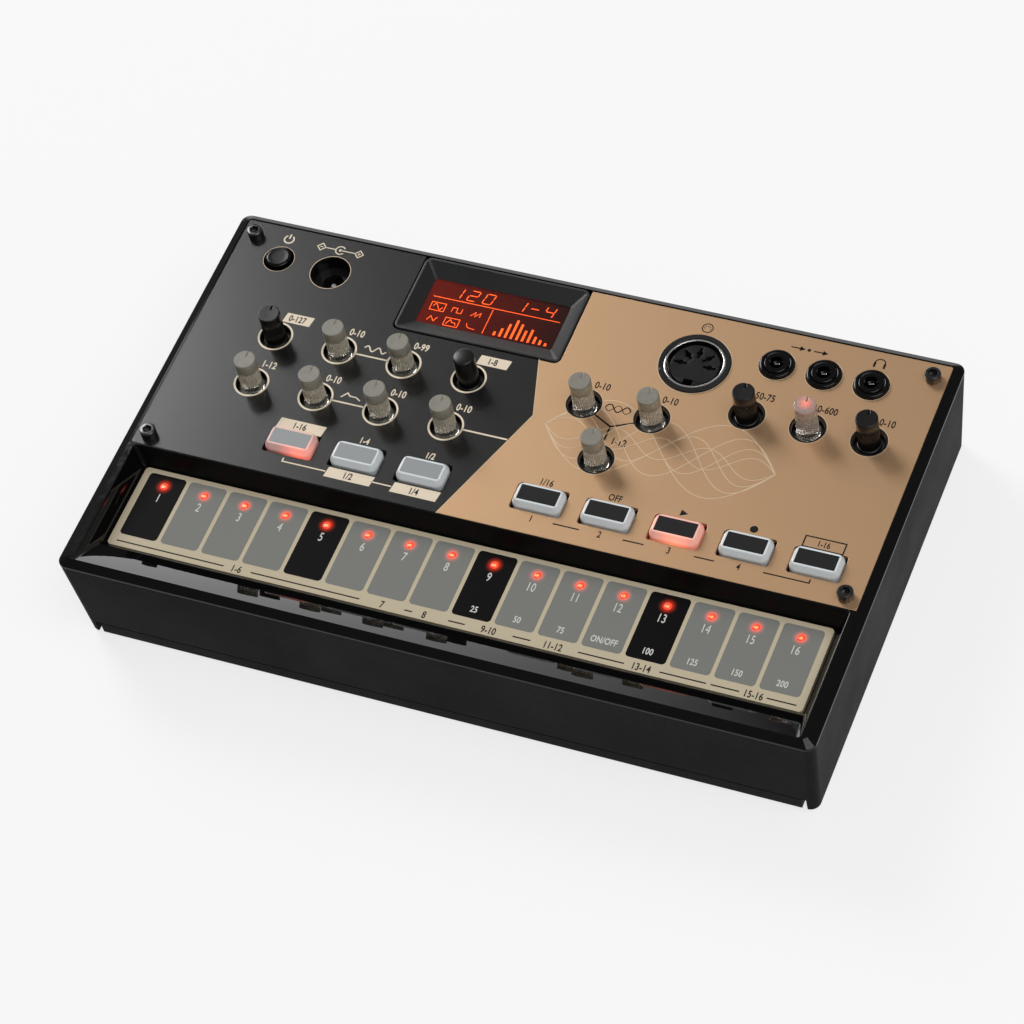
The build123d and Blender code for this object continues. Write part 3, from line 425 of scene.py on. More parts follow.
def ledFinish():
    led = ledLook
    material, tree, shader = startMaterial("ledLens", led["lens"])
    core = remap(tree, ledDistance(tree), 1.0, 0.0, *[led["hotRadius"] * share for share in led["core"]])
    ripple = noise(tree, objectPlace(tree), led["ripple"])
    core = calc(tree, "MULTIPLY", core, remap(tree, ripple, 0.75, 1.0))
    tree.links.new(mixColour(tree, core, led["red"], led["hot"]), shader.inputs["Emission Color"])
    strength = remap(tree, core, led["rim"] * led["strength"], led["strength"])
    tree.links.new(strength, shader.inputs["Emission Strength"])
    return material


filmLooks = {
    "stripFilm": surface((0.5, 0.43, 0.305), (0.42, 0.54), 0.12, 0.12, vary=0.05, specular=0.14),
    "greyKey": surface((0.188, 0.192, 0.176), (0.42, 0.54), 0.12, 0.12, vary=0.05, specular=0.12),
    "blackKey": surface((0.004, 0.0036, 0.0036), (0.4, 0.5), 0.12, 0.12, specular=0.045),
}
finish["panelFinish"] = panelFinish()
finish["ledLens"] = ledFinish()
for name, look in filmLooks.items():
    finish[name] = glowingFilm(name, look)

# pinkish body colour of the lit buttons: painted light of the red lamps inside them, on the same clear
# plastic as the other buttons
litLook = dict(looks["clearButton"], colour=(0.76, 0.50, 0.45))
litButtons = {  # glow by the lamp and everywhere, lamp's place from the button's foot, and its reach
    "step_edit_button": {"colour": (1.0, 0.13, 0.07, 1), "strength": 1.0, "base": 0.05,
                         "lamp": (3.2, -3.6, -0.2), "reach": 6.5},
    "play_button": {"colour": (1.0, 0.20, 0.09, 1), "strength": 0.95, "base": 0.24,
                    "lamp": (0.8, -3.7, 0.0), "reach": 6.0},
}
tempoGlow = {"colour": (1.0, 0.11, 0.05, 1), "strength": 0.85, "base": 0.02,
             "lamp": (0.0, 0.6, 0.0), "reach": 2.4}


def litFinish(name, place, lit, look):
    # translucent body over a lamp: brightest low down beside the lamp
    material, tree, shader = startMaterial(name, look["sockets"])
    dress(tree, shader, look)
    spot = [(start + step) * mm for start, step in zip(place, lit["lamp"])]
    sockets = {0: objectPlace(tree), 1: spot}
    away = addNode(tree, "VectorMath", sockets, operation="DISTANCE").outputs["Value"]
    fade = calc(tree, "POWER", remap(tree, away, 1.0, 0.0, 0.0, lit["reach"] * mm), 1.5)
    shader.inputs["Emission Color"].default_value = lit["colour"]
    strength = calc(tree, "MULTIPLY_ADD", fade, lit["strength"], lit["base"])
    tree.links.new(strength, shader.inputs["Emission Strength"])
    return material


displayLooks = {  # base colour, glow, and its strength at the left and the right end
    "displayFace": ((0.012, 0.002, 0.0015, 1), (1.0, 0.09, 0.035, 1), (0.15, 0.006)),
    "segmentLight": ((0.4, 0.08, 0.02, 1), (1.0, 0.30, 0.07, 1), (2.8, 2.0)),
}


def displayFinish(name, base, glow, strengths):
    # lit from its left edge, so it fades towards the right
    sockets = {"Emission Color": glow, "Roughness": 0.5, "Specular IOR Level": 0.1}
    material, tree, shader = startMaterial(name, sockets)
    where = objectPlace(tree)
    cloud = noise(tree, where, 9)
    dim = [part * 0.6 for part in base[:3]] + [1]
    tree.links.new(mixColour(tree, cloud, dim, base), shader.inputs["Base Color"])
    across = addNode(tree, "SeparateXYZ", {0: where}).outputs[0]
    (x0, _, _), (x1, _, _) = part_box("display_module")
    glowing = calc(tree, "MULTIPLY", remap(tree, across, *strengths, x0, x1), remap(tree, cloud, 0.85, 1.0))
    tree.links.new(glowing, shader.inputs["Emission Strength"])
    return material


for name, values in displayLooks.items():
    finish[name] = displayFinish(name, *values)
print("finishes made:", len(finish))


# mesh helpers; shapes are drawn in millimetres in a bmesh

boxes = {name: [[side / mm for side in corner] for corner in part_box(name)] for name in nodes}


def place2d(name):
    (x0, y0, _), (x1, y1, _) = boxes[name]
    return (x0 + x1) / 2, (y0 + y1) / 2


def levels(name):
    return boxes[name][0][2], boxes[name][1][2]


panelTop = levels("control_panel")[1]
inkLevel = panelTop - 0.01
stripTop = levels("touch_strip")[1]
stripInk = stripTop - 0.01


def bridge(shape, loops, closed=False):
    # quads between rings of vertices that have the same count
    pairs = list(zip(loops, loops[1:]))
    if closed:
        pairs.append((loops[-1], loops[0]))
    for low, high in pairs:
        count = len(low)
        for i in range(count):
            shape.faces.new((low[i], low[(i + 1) % count], high[(i + 1) % count], high[i]))


def fill(shape, loops):
    # flat face between the outermost ring of vertices and those inside it
    edges = []
    for loop in loops:
        for i, vertex in enumerate(loop):
            edges.append(shape.edges.get((vertex, loop[(i + 1) % len(loop)])))
    bmesh.ops.triangle_fill(shape, use_beauty=True, edges=edges)


def ringAt(shape, outline, height):
    return [shape.verts.new((x, y, height)) for x, y in outline]


def capEnds(shape, loops):
    shape.faces.new(list(reversed(loops[0])))
    shape.faces.new(loops[-1])


def softCorners(points):
    # profile of (x, z, rounding): each corner with a rounding becomes an arc of short runs
    steps = 4
    made = []
    for i, point in enumerate(points):
        corner = Vector(point[:2])
        rounding = point[2] if len(point) > 2 else 0
        if not rounding or i in (0, len(points) - 1):
            made.append(corner)
            continue
        before = Vector(points[i - 1][:2]) - corner
        after = Vector(points[i + 1][:2]) - corner
        half = before.angle(after) / 2
        reach = min(rounding / math.tan(half), 0.49 * before.length, 0.49 * after.length)
        start, end = corner + before.normalized() * reach, corner + after.normalized() * reach
        for step in range(steps + 1):
            t = step / steps
            made.append(start.lerp(corner, t).lerp(corner.lerp(end, t), t))
    return made


def lathe(shape, centre, profile, steps=96, ribs=0, ribDepth=0.0, ribSpan=(0, 0)):
    # turned solid: the profile runs from the axis out and back to the axis, or is a closed ring
    x, y = centre
    points = softCorners(profile)
    loops = []
    for radius, height in points:
        if radius < 1e-6:
            loops.append([shape.verts.new((x, y, height))])
            continue
        ring = []
        for i in range(steps):
            angle = 2 * math.pi * i / steps
            r = radius
            if ribs and ribSpan[0] <= height <= ribSpan[1]:
                r -= ribDepth * (0.5 - 0.5 * math.cos(ribs * angle)) ** 0.7
            ring.append(shape.verts.new((x + r * math.cos(angle), y + r * math.sin(angle), height)))
        loops.append(ring)
    for low, high in zip(loops, loops[1:]):
        for i in range(steps):
            j = (i + 1) % steps
            quad = [low[i % len(low)], low[j % len(low)], high[j % len(high)], high[i % len(high)]]
            unique = list(dict.fromkeys(quad))
            if len(unique) > 2:
                shape.faces.new(unique)
    if profile[0][0] > 0:
        bridge(shape, [loops[-1], loops[0]])


def roundedOutline(centre, length, depth, radius, steps=7):
    x, y = centre
    points = []
    for quarter, (sx, sy) in enumerate(((1, 1), (-1, 1), (-1, -1), (1, -1))):
        corner = (x + sx * (length / 2 - radius), y + sy * (depth / 2 - radius))
        points += arc(corner, radius, 90 * quarter, 90 * quarter + 90, steps)
    return points


def arc(centre, radius, fromAngle, toAngle, steps=24):
    turns = [math.radians(fromAngle + (toAngle - fromAngle) * i / steps) for i in range(steps + 1)]
    return [(centre[0] + radius * math.cos(turn), centre[1] + radius * math.sin(turn)) for turn in turns]


def circle(centre, radius, steps=64):
    return arc(centre, radius, 0, 360 - 360 / steps, steps - 1)


def sectionRings(shape, centre, sections):
    # rings of vertices round rounded rectangles, each (height, length, depth, corner radius)
    return [ringAt(shape, roundedOutline(centre, *sides), height) for height, *sides in sections]


def stack(shape, centre, sections):
    # closed solid through rounded rectangles
    loops = sectionRings(shape, centre, sections)
    bridge(shape, loops)
    capEnds(shape, loops)


def line(shape, points, width, level=inkLevel, thickness=0.02, closed=False):
    # flat printed line, mitred at its corners
    path = [Vector(point) for point in points]
    count = len(path)
    rings = []
    for i, point in enumerate(path):
        runs = []
        if i > 0 or closed:
            runs.append((point - path[i - 1]).normalized())
        if i < count - 1 or closed:
            runs.append((path[(i + 1) % count] - point).normalized())
        along = sum(runs, Vector((0, 0))).normalized()
        side = Vector((-along.y, along.x))
        stretch = 1 / max(0.5, abs(along.dot(runs[0])))
        edge = side * (width / 2 * stretch)
        corners = ((point + edge, level), (point - edge, level),
                   (point - edge, level + thickness), (point + edge, level + thickness))
        rings.append([shape.verts.new((p.x, p.y, z)) for p, z in corners])
    bridge(shape, rings, closed)
    if not closed:
        capEnds(shape, rings)


def ring(shape, centre, radius, width):
    line(shape, circle(centre, radius, 72), width, closed=True)


def takeCurve(shape, curve, level, thickness, sides=(1, 1), centre=None):
    # adds a filled curve that stands on a level; its middle goes to the centre, where one is given
    holder = bpy.data.objects.new("outline", curve)
    mesh = bpy.data.meshes.new_from_object(holder)
    if centre:
        xs, ys, _ = zip(*(vertex.co for vertex in mesh.vertices))
        middle = ((min(xs) + max(xs)) / 2, (min(ys) + max(ys)) / 2, 0)
        mesh.transform(Matrix.Translation(middle).inverted())
    mesh.transform(Matrix.Diagonal((*sides, thickness / (2 * curve.extrude), 1)))
    mesh.transform(Matrix.Translation((*(centre or (0, 0)), level + thickness / 2)))
    shape.from_mesh(mesh)
    bpy.data.objects.remove(holder)
    bpy.data.meshes.remove(mesh)
    bpy.data.curves.remove(curve)


def disc(shape, outlines, level=inkLevel, thickness=0.02):
    # filled flat shape; an outline inside another is a hole
    curve = bpy.data.curves.new("outline", "CURVE")
    curve.dimensions = "2D"
    curve.fill_mode = "BOTH"
    curve.extrude = thickness / 2
    for outline in outlines:
        spline = curve.splines.new("POLY")
        spline.points.add(len(outline) - 1)
        for point, (x, y) in zip(spline.points, outline):
            point.co = (x, y, 0, 1)
        spline.use_cyclic_u = True
    takeCurve(shape, curve, level, thickness)


def write(shape, words, centre, height, level=inkLevel, narrow=0.72, bold=0.022):
    # numbers in the plain built-in face, narrowed, centred on a point
    curve = bpy.data.curves.new("words", "FONT")
    curve.body = words
    curve.align_x = "CENTER"
    curve.align_y = "CENTER"
    curve.space_character = 1.06
    curve.offset = bold
    curve.extrude = 0.001
    scale = height / 0.73  # a figure of that face is 0.73 high
    takeCurve(shape, curve, level, 0.02, sides=(scale * narrow, scale), centre=centre)


edgeAngles = {"smooth": 32, "bevel": 25}  # degrees: shaded smooth up to the one, bevelled from the other


def meshOf(name, shape):
    # mesh in metres, faces outwards
    mesh = bpy.data.meshes.new(name)
    bmesh.ops.recalc_face_normals(shape, faces=shape.faces)
    shape.to_mesh(mesh)
    shape.free()
    mesh.transform(Matrix.Scale(mm, 4))
    return mesh


def addPiece(name, shape, body, materials, replaced=()):
    bmesh.ops.remove_doubles(shape, verts=shape.verts, dist=1e-4)
    mesh = meshOf(name, shape)
    for material in materials:
        mesh.materials.append(finish[material] if isinstance(material, str) else material)
    mesh.shade_smooth()
    mesh.set_sharp_from_angle(angle=math.radians(edgeAngles["smooth"]))
    for polygon in mesh.polygons:
        polygon.use_smooth = abs(polygon.normal.z) < 0.99999  # level faces stay flat beside rounded edges
    piece = bpy.data.objects.new(name, mesh)
    scene.collection.objects.link(piece)
    shading = piece.modifiers.new("shading", "WEIGHTED_NORMAL")
    shading.keep_sharp = True
    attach(piece, body)
    if replaced:
        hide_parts(*replaced)
    return piece


def bodyOf(node):
    return node if node in frame["bodies"] else "case"


# CAD nodes that stay: material, and edges softened where they catch the light

kept = {
    "lower_case": ("casePlastic", 0.35),
    "bottom_plate": ("casePlastic", 0.2),
    "battery_cover": ("casePlastic", 0.15),
    "display_window": ("redWindow", 0),
    "display_module": ("displayFace", 0),
    "touch_strip": ("stripFilm", 0.12),
    "touch_board": ("touchLaminate", 0),
    "control_board": ("boardLaminate", 0),
    "touch_flex_cable": ("flatCable", 0),
    "board_components": ("chipPlastic", 0.1),
    "board_leds": ("ledLens", 0),
    "panel_screws": ("blackSteel", 0.12),
    "case_and_board_screws": ("blackSteel", 0.1),
    "rubber_feet": ("footRubber", 0.2),
    "battery_cells": ("cellCan", 0.3),
    "battery_contacts": ("brightSteel", 0.1),
    "potentiometer_bodies": ("dialPlastic", 0.15),
    "encoder_body": ("dialPlastic", 0.15),
    "push_switches": ("dialPlastic", 0.15),
    "dc_jack_body": ("socketPlastic", 0.15),
    "dc_jack_pin": ("pinMetal", 0),
    "din_socket_housing": ("socketPlastic", 0.25),
    "din_socket_shell": ("brightShell", 0.1),
    "din_socket_insert": ("insertPlastic", 0.08),
    "din_socket_contacts": ("contactMetal", 0.1),
    "mini_jack_bodies": ("glossBlack", 0),
    "speaker_frame": ("brightSteel", 0.1),
    "speaker_cone": ("conePaper", 0),
    "speaker_magnet": ("magnetIron", 0.3),
    "internal_leads": ("leadSleeve", 0),
}


def dressNode(name, material, edge):
    node = nodes[name]
    node.data.materials.clear()
    node.data.materials.append(finish[material])
    if edge:
        weld = node.modifiers.new("weld", "WELD")
        weld.merge_threshold = 1e-6
        bevel = node.modifiers.new("softEdges", "BEVEL")
        bevel.width = edge * mm
        bevel.segments = 2
        bevel.limit_method = "ANGLE"
        bevel.angle_limit = math.radians(edgeAngles["bevel"])
        bevel.use_clamp_overlap = True
        shading = node.modifiers.new("shading", "WEIGHTED_NORMAL")
        shading.keep_sharp = False


for name, (material, edge) in kept.items():
    dressNode(name, material, edge)
print("CAD nodes dressed:", len(kept))


# top frame: rim, tray and deck in one closed shell, with its edges rounded

frameShape = {
    "corner": 2.5,
    "bandFoot": 28.4,  # upright band, its top, and the ridge above it
    "bandTop": 29.0,
    "bandEdge": ((0, -0.12), (0.02, -0.02)),  # share of the way in to the ridge, and height over the band
    "ridgeInset": (2.3, 2.1, 1.8),  # at the ends, the front and the back
    "ridgeEdge": ((0.06, 0.06), (0.90, 0.90), (0.95, 0.955), (0.975, 0.985), (0.99, 1.0)),  # in and up
    "deckTop": 28.8,
    "deckBottom": 27.2,
    "deckInset": 2.5,
    "tubeWall": 1.1,  # round the power inlet, under the deck
    "tubeFoot": 25.6,
    "panelGap": 0.1,
    "trayCorner": 1.0,
    "throatTop": 24.0,
    "trayRise": 6.0,
    "throat": (89.8, -46.5, -21.2),  # half length, front and back
    "spread": (2.7, -8.7, 2.0),  # how much further out these lie at the panel's height
    "slope": (0.57, 0.42),  # front slope's fall for each millimetre inwards, near the strip and at the mouth
    "slopeSteps": 24,
    "lipDrop": 0.04,  # rounded edge of the tray's mouth
    "lipGrow": (0.14, 0.05),
    "lipFront": 0.06,
    "trayWall": (1.8, -3.0, 1.4),
}
holes = {"knob": 4.0, "power": 3.95, "dc": 5.15, "din": 8.95, "jack": 3.3, "collar": 4.45,
         "button": (13.1, 7.8, 0.8), "window": (40.9, 18.4, 0.5)}


def trayOutline(height, grow=0.0, wall=0.0, front=None):
    f = frameShape
    share = (height - f["throatTop"]) / f["trayRise"]
    half, straight, back = [base + more * share + side * wall
                            for base, more, side in zip(f["throat"], f["spread"], f["trayWall"])]
    front = straight if front is None else front
    half, back = half + grow, back + grow
    return roundedOutline((0, (front + back) / 2), 2 * half, back - front, f["trayCorner"])


def frontSlope(height, mouthFront, mouthHeight):
    # where the front slope is at a height: down from the mouth, ever steeper towards the strip
    steep, shallow = frameShape["slope"]
    fall = mouthHeight - height
    reach = frameShape["throat"][1] + 0.1 - mouthFront
    bend = (steep - shallow) / (2 * reach)
    inwards = (-shallow + math.sqrt(shallow ** 2 + 4 * bend * fall)) / (2 * bend)
    return mouthFront + min(inwards, reach)


def rimOutline(share):
    # from the widest outline at 0 to the ridge at 1
    f = frameShape
    side, front, back = [inset * share for inset in f["ridgeInset"]]
    (x0, y0, _), (x1, _, _) = boxes["tray_frame"]
    y1 = boxes["top_frame"][1][1]
    return roundedOutline((0, (y0 + front + y1 - back) / 2), x1 - x0 - 2 * side, y1 - y0 - front - back,
                          f["corner"] * (1 - share / 2), 14)


def deckHoles(grow=0.0, jack="jack"):
    outlines = [circle(place2d(name), holes["knob"] + grow) for name in knobNames]
    outlines.append(circle(place2d("power_button"), holes["power"] + grow))
    outlines.append(circle(place2d("dc_jack_pin"), holes["dc"] + grow))
    outlines.append(circle(place2d("din_socket_housing"), holes["din"] + grow, 96))
    outlines += [circle((x, jackRow), holes[jack] + grow) for x in jackPlaces]
    length, depth, corner = holes["button"]
    outlines += [roundedOutline(place2d(name), length + 2 * grow, depth + 2 * grow, corner + grow)
                 for name in buttonNames]
    return outlines


def wall(shape, rings):
    # rings of vertices through (outline, height) pairs, joined by faces; gives the first and last ring
    loops = [ringAt(shape, outline, height) for outline, height in rings]
    bridge(shape, loops)
    return loops[0], loops[-1]


def pocketOutline():
    (x0, y0, _), (x1, y1, _) = boxes["control_panel"]
    gap = 2 * frameShape["panelGap"]
    return roundedOutline(((x0 + x1) / 2, (y0 + y1) / 2), x1 - x0 + gap, y1 - y0 + gap, 0.6)


def makeFrame():
    f = frameShape
    ridge = levels("top_frame")[1]
    rise = ridge - f["bandTop"]
    shape = bmesh.new()
    outer = [(rimOutline(0), f["bandFoot"])]
    outer += [(rimOutline(share), f["bandTop"] + height) for share, height in f["bandEdge"]]
    outer += [(rimOutline(share), f["bandTop"] + rise * height) for share, height in f["ridgeEdge"]]
    bandFoot, ridgeRing = wall(shape, outer)
    mouthFront = f["throat"][1] + f["spread"][1] * (ridge - f["throatTop"]) / f["trayRise"]
    lip, lipFront = ridge - f["lipDrop"], mouthFront + f["lipFront"]
    mouth = [(trayOutline(ridge, f["lipGrow"][0], front=mouthFront), ridge),
             (trayOutline(lip, f["lipGrow"][1], front=lipFront), lip)]
    for i in range(1, f["slopeSteps"] + 1):
        height = lip - (lip - f["throatTop"]) * i / f["slopeSteps"]
        mouth.append((trayOutline(height, front=frontSlope(height, lipFront, lip)), height))
    bottom = levels("tray_frame")[0]
    foot = trayOutline(f["throatTop"] - 0.1)
    mouth += [(foot, f["throatTop"] - 0.25), (foot, bottom)]
    mouthRing, throatFoot = wall(shape, mouth)
    pocketTop, pocketFloor = wall(shape, [(pocketOutline(), ridge), (pocketOutline(), f["deckTop"])])
    fill(shape, [ridgeRing, mouthRing, pocketTop])
    # deck's holes, between the pocket's floor and the underside
    window = roundedOutline(place2d("display_window"), *holes["window"])
    well, tube = [circle(place2d("dc_jack_pin"), holes["dc"] + thick) for thick in (0, f["tubeWall"])]
    pairs = []
    for outline in deckHoles() + [window]:
        rings = [(outline, f["deckTop"]), (outline, f["deckBottom"])]
        if outline == well:
            rings[1:] = [(well, f["tubeFoot"]), (tube, f["tubeFoot"]), (tube, f["deckBottom"])]
        pairs.append(wall(shape, rings))
    fill(shape, [pocketFloor] + [upper for upper, _ in pairs])
    length, depth = [2 * (side - f["deckInset"]) for side in boxes["top_frame"][1][:2]]
    inner = roundedOutline((0, 0), length, depth, 1.0)
    blockTop, blockFoot = wall(shape, [(inner, f["bandFoot"]), (inner, f["deckBottom"])])
    fill(shape, [bandFoot, blockTop])
    outerFoot, outerTop = wall(shape, [(trayOutline(bottom, wall=1), bottom),
                                       (trayOutline(f["deckBottom"] - 1, wall=1), f["deckBottom"])])
    fill(shape, [blockFoot, outerTop] + [lower for _, lower in pairs])
    fill(shape, [outerFoot, throatFoot])
    half, _, back = f["throat"]
    for face in shape.faces:
        x, y, z = face.calc_center_median()
        if abs(x) < half + 2.75 and mouthFront < y < panelFront and f["throatTop"] < z < ridge - 0.01:
            face.material_index = 1 if y > back else 2
    addPiece("frame_shell", shape, "case", ["glossBlack", "trayBlack", "slopeBlack"],
             ("top_frame", "tray_frame"))


knobNames = sorted(name for name in nodes if name.endswith("_knob"))
buttonNames = sorted(name for name in nodes if name.endswith("_button") and name != "power_button")
jackPlaces = (52.5, 64.5, 76.5)
jackRow = place2d("mini_jack_bodies")[1]
panelFront = boxes["control_panel"][0][1]
makeFrame()


panelShape = {"corner": 0.5, "bezelGap": 0.25, "bezelCorner": 1.8,
              "edge": ((0.16, 0.0), (0.045, 0.035), (0.0, 0.13))}  # how far down and in, at the rounded edge


def panelOutline(inset):
    # plate with the display's cut-out, which is open to the back edge
    p = panelShape
    (x0, y0, _), (x1, y1, _) = boxes["control_panel"]
    (b0, c0, _), (b1, _, _) = boxes["display_bezel"]
    left, right, front = b0 - p["bezelGap"] - inset, b1 + p["bezelGap"] + inset, c0 - p["bezelGap"] - inset
    x0, y0, x1, y1 = x0 + inset, y0 + inset, x1 - inset, y1 - inset
    r, b = p["corner"], p["bezelCorner"]
    points = arc((x1 - r, y1 - r), r, 0, 90, 6)
    points += [(right, y1)] + arc((right - b, front + b), b, 0, -90, 8)
    points += arc((left + b, front + b), b, -90, -180, 8) + [(left, y1)]
    points += arc((x0 + r, y1 - r), r, 90, 180, 6) + arc((x0 + r, y0 + r), r, 180, 270, 6)
    return points + arc((x1 - r, y0 + r), r, 270, 360, 6)


def makePanel():
    shape = bmesh.new()
    bottom, top = levels("control_panel")
    rings = [(bottom, 0.0)] + [(top - drop, inset) for drop, inset in panelShape["edge"]]
    heights = [height for height, _ in rings]
    outlines = zip(*([panelOutline(inset), *deckHoles(inset, "collar")] for _, inset in rings))
    ends = [wall(shape, zip(outline, heights)) for outline in outlines]
    fill(shape, [low for low, _ in ends])
    fill(shape, [high for _, high in ends])
    addPiece("panel_plate", shape, "case", ["panelFinish"], ("control_panel",))


makePanel()


bezelShape = {
    "corner": 1.8,
    "edge": 0.3,
    "lip": 0.8,
    "foot": 28.8,
    "shelf": (40.6, 18.1, 0.5),  # length, depth and corner, in the deck's cut-out
    "sight": (36.6, 14.1, 0.5),
}


def makeBezel():
    b = bezelShape
    (x0, y0, low), (x1, y1, top) = boxes["display_bezel"]
    outer = (x1 - x0, y1 - y0, b["corner"])
    sections = [(low, *b["shelf"]), (b["foot"], *b["shelf"]), (b["foot"], *outer), (top - b["edge"], *outer)]
    for turn in (math.radians(30), math.radians(60), math.radians(90)):
        inset = b["edge"] * (1 - math.cos(turn))
        sections.append((top - b["edge"] * (1 - math.sin(turn)), outer[0] - 2 * inset, outer[1] - 2 * inset,
                         b["corner"] - inset))
    for drop, wider in ((0, 0.2), (0.05, 0), (0.16, -0.2)):  # soft inner edge
        length, depth = [side - 2 * b["lip"] + wider for side in outer[:2]]
        sections.append((top - drop, length, depth, b["corner"] / 2))
    sections += [(low + 0.06, *b["sight"]), (low, *b["sight"])]
    shape = bmesh.new()
    bridge(shape, sectionRings(shape, place2d("display_bezel"), sections), closed=True)
    addPiece("bezel_frame", shape, "case", ["bezelPlastic"], ("display_bezel",))


makeBezel()


jackShape = {
    "inner": 3.22, "radius": 4.35, "round": 0.8, "innerRound": 0.3,
    "contact": (1.7, 0.75, 0.55),  # length, depth and height
    "contactForm": ((-0.5, 0.8, 0.6, 0.15), (-0.25, 1, 1, 0.3),  # shares of height, length and depth, corner
                    (0.25, 1, 1, 0.3), (0.5, 0.8, 0.6, 0.15)),
    "contactTurn": 110, "contactReach": 1.62,
}


def makeJackTrim():
    j = jackShape
    collars, contacts = bmesh.new(), bmesh.new()
    bottom, top = levels("mini_jack_collars")
    low, high = levels("mini_jack_contacts")
    turn = Matrix.Rotation(math.radians(j["contactTurn"] - 90), 4, "Z")
    length, depth, height = j["contact"]
    bar = [(height * up, length * wide, depth * deep, corner) for up, wide, deep, corner in j["contactForm"]]
    for x in jackPlaces:
        lathe(collars, (x, jackRow), [(j["inner"], bottom), (j["inner"], top, j["innerRound"]),
                                      (j["radius"], top, j["round"]), (j["radius"], bottom)])
        # contact spring: a small rounded bar on the bore's wall
        start = len(contacts.verts)
        stack(contacts, (0, 0), bar)
        contacts.verts.ensure_lookup_table()
        place = Matrix.Translation((x, jackRow, (low + high) / 2)) @ turn
        bmesh.ops.transform(contacts, matrix=place @ Matrix.Translation((0, j["contactReach"], 0)),
                            verts=contacts.verts[start:])
    addPiece("jack_collars", collars, "case", ["glossBlack"], ("mini_jack_collars",))
    addPiece("jack_contacts", contacts, "case", ["contactMetal"], ("mini_jack_contacts",))


makeJackTrim()
print("frame, panel and bezel made")


# knobs

knobShape = {
    "radius": 2.75,
    "head": ((0, 0.06), (2.2, 0.02, 0.4), (2.75, 0, 0.32)),  # radius, drop from the top and rounding
    "dome": ((0, 0), (1.2, 0.04), (2.7, 0.25, 0.55)),
    "waist": 3.4,  # shallow groove round the knob, down from its top
    "groove": ((2.75, -0.3), (2.65, -0.1, 0.1), (2.65, 0.05, 0.1), (2.75, 0.2)),  # height from the waist
    "ribs": 30,
    "ribDepth": 0.2,
    "ribSpan": (1.05, -0.05),  # above the skirt's foot, and from the waist
    "skirtRadius": 3.0,
    "skirtHeight": 1.0,
    "skirtBottom": 5.4,  # above the shaft's end
    "shaft": 2.0,
    "frosted": 0.22,  # how far down the cap's own finish goes
    "base": 2.3,  # clear foot, above the skirt's foot
    "notchWidth": 0.42,
    "notchStart": 1.0,
    "notchDepth": 0.45,
    "steps": 240,
}


def cutNotch(piece, centre, top):
    # pointer notch, from near the axis to the back edge of the cap
    k = knobShape
    cutter = bmesh.new()
    x, y = centre
    left, right = x - k["notchWidth"] / 2, x + k["notchWidth"] / 2
    start, end = y + k["notchStart"], y + k["radius"] + 1
    corners = [(left, start), (right, start), (right, end), (left, end)]
    rings = [ringAt(cutter, corners, height) for height in (top - k["notchDepth"], top + 1)]
    bridge(cutter, rings)
    capEnds(cutter, rings)
    mesh = meshOf("cutter", cutter)
    tool = bpy.data.objects.new("cutter", mesh)
    scene.collection.objects.link(tool)
    cut = piece.modifiers.new("notch", "BOOLEAN")
    cut.operation = "DIFFERENCE"
    cut.solver = "EXACT"
    cut.object = tool
    bpy.context.view_layer.update()
    graph = bpy.context.evaluated_depsgraph_get()
    made = bpy.data.meshes.new_from_object(piece.evaluated_get(graph))
    piece.modifiers.clear()
    piece.data = made
    bpy.data.objects.remove(tool)
    made.set_sharp_from_angle(angle=math.radians(edgeAngles["smooth"]))


def makeKnob(node, clear, domed):
    # ribbed with a pointer notch, or smooth with a domed head
    k = knobShape
    centre = place2d(node)
    bottom, top = levels(node)
    skirt, waist = bottom + k["skirtBottom"], top - k["waist"]
    skirtTop = skirt + k["skirtHeight"]
    profile = [(0, bottom), (k["shaft"], bottom, 0.2), (k["shaft"], skirt), (k["skirtRadius"], skirt, 0.1),
               (k["skirtRadius"], skirtTop, 0.25), (k["radius"], skirtTop + 0.1)]
    if not domed:
        profile.append((k["radius"], skirt + 2.4))
        profile += [(radius, waist + height, *soft) for radius, height, *soft in k["groove"]]
    head = k["dome"] if domed else k["head"]
    profile += [(radius, top - drop, *soft) for radius, drop, *soft in reversed(head)]
    shape = bmesh.new()
    span = (skirt + k["ribSpan"][0], waist + k["ribSpan"][1])
    lathe(shape, centre, profile, k["steps"], 0 if domed else k["ribs"], k["ribDepth"], span)
    materials = ["blackKnob"]
    if clear:
        lit = node == "tempo_knob"
        side, head = ("tempoSide", "tempoSide") if lit else ("clearSide", "clearHead")
        cap = litFinish("tempoTop", (*centre, top), tempoGlow, looks["tempoSide"]) if lit else "clearTop"
        materials = [side, cap, "clearBase", head]
        foots = (skirt + k["base"], waist, top - k["frosted"])
        for face in shape.faces:
            zone = sum(face.calc_center_median().z > foot for foot in foots)
            face.material_index = (2, 0, 3, 1)[zone]
    piece = addPiece(node + "_body", shape, bodyOf(node), materials, (node,))
    if not domed:
        cutNotch(piece, centre, top)


blackKnobs = ("value_knob", "swing_knob", "volume_knob", "select_knob")
for name in knobNames:
    makeKnob(name, clear=name not in blackKnobs, domed=name == "select_knob")
print("knobs made:", len(knobNames))


# push buttons

buttonShape = {
    "length": 12.5, "depth": 7.2, "corner": 2.0,
    "topLength": 10.9, "topDepth": 5.2, "topCorner": 1.0,
    "flange": 0.9, "flangeHeight": 0.9,
    "side": 1.25,  # bevel's height
    "soft": 0.28,  # rounded shoulder below the bevel
    "softShare": 0.096,  # of the bevel's way inwards
    "softRise": 0.012,
    "edge": ((0.86, 0.18), (0.95, 0.07), (1.0, 0.02)),  # share of the way inwards, and drop from the top
    "topInset": 0.25,
    "inkLength": 10.0, "inkDepth": 4.3, "inkCorner": 0.18, "ink": 0.04,
    "stem": 1.6, "stemLength": 2.5,
}


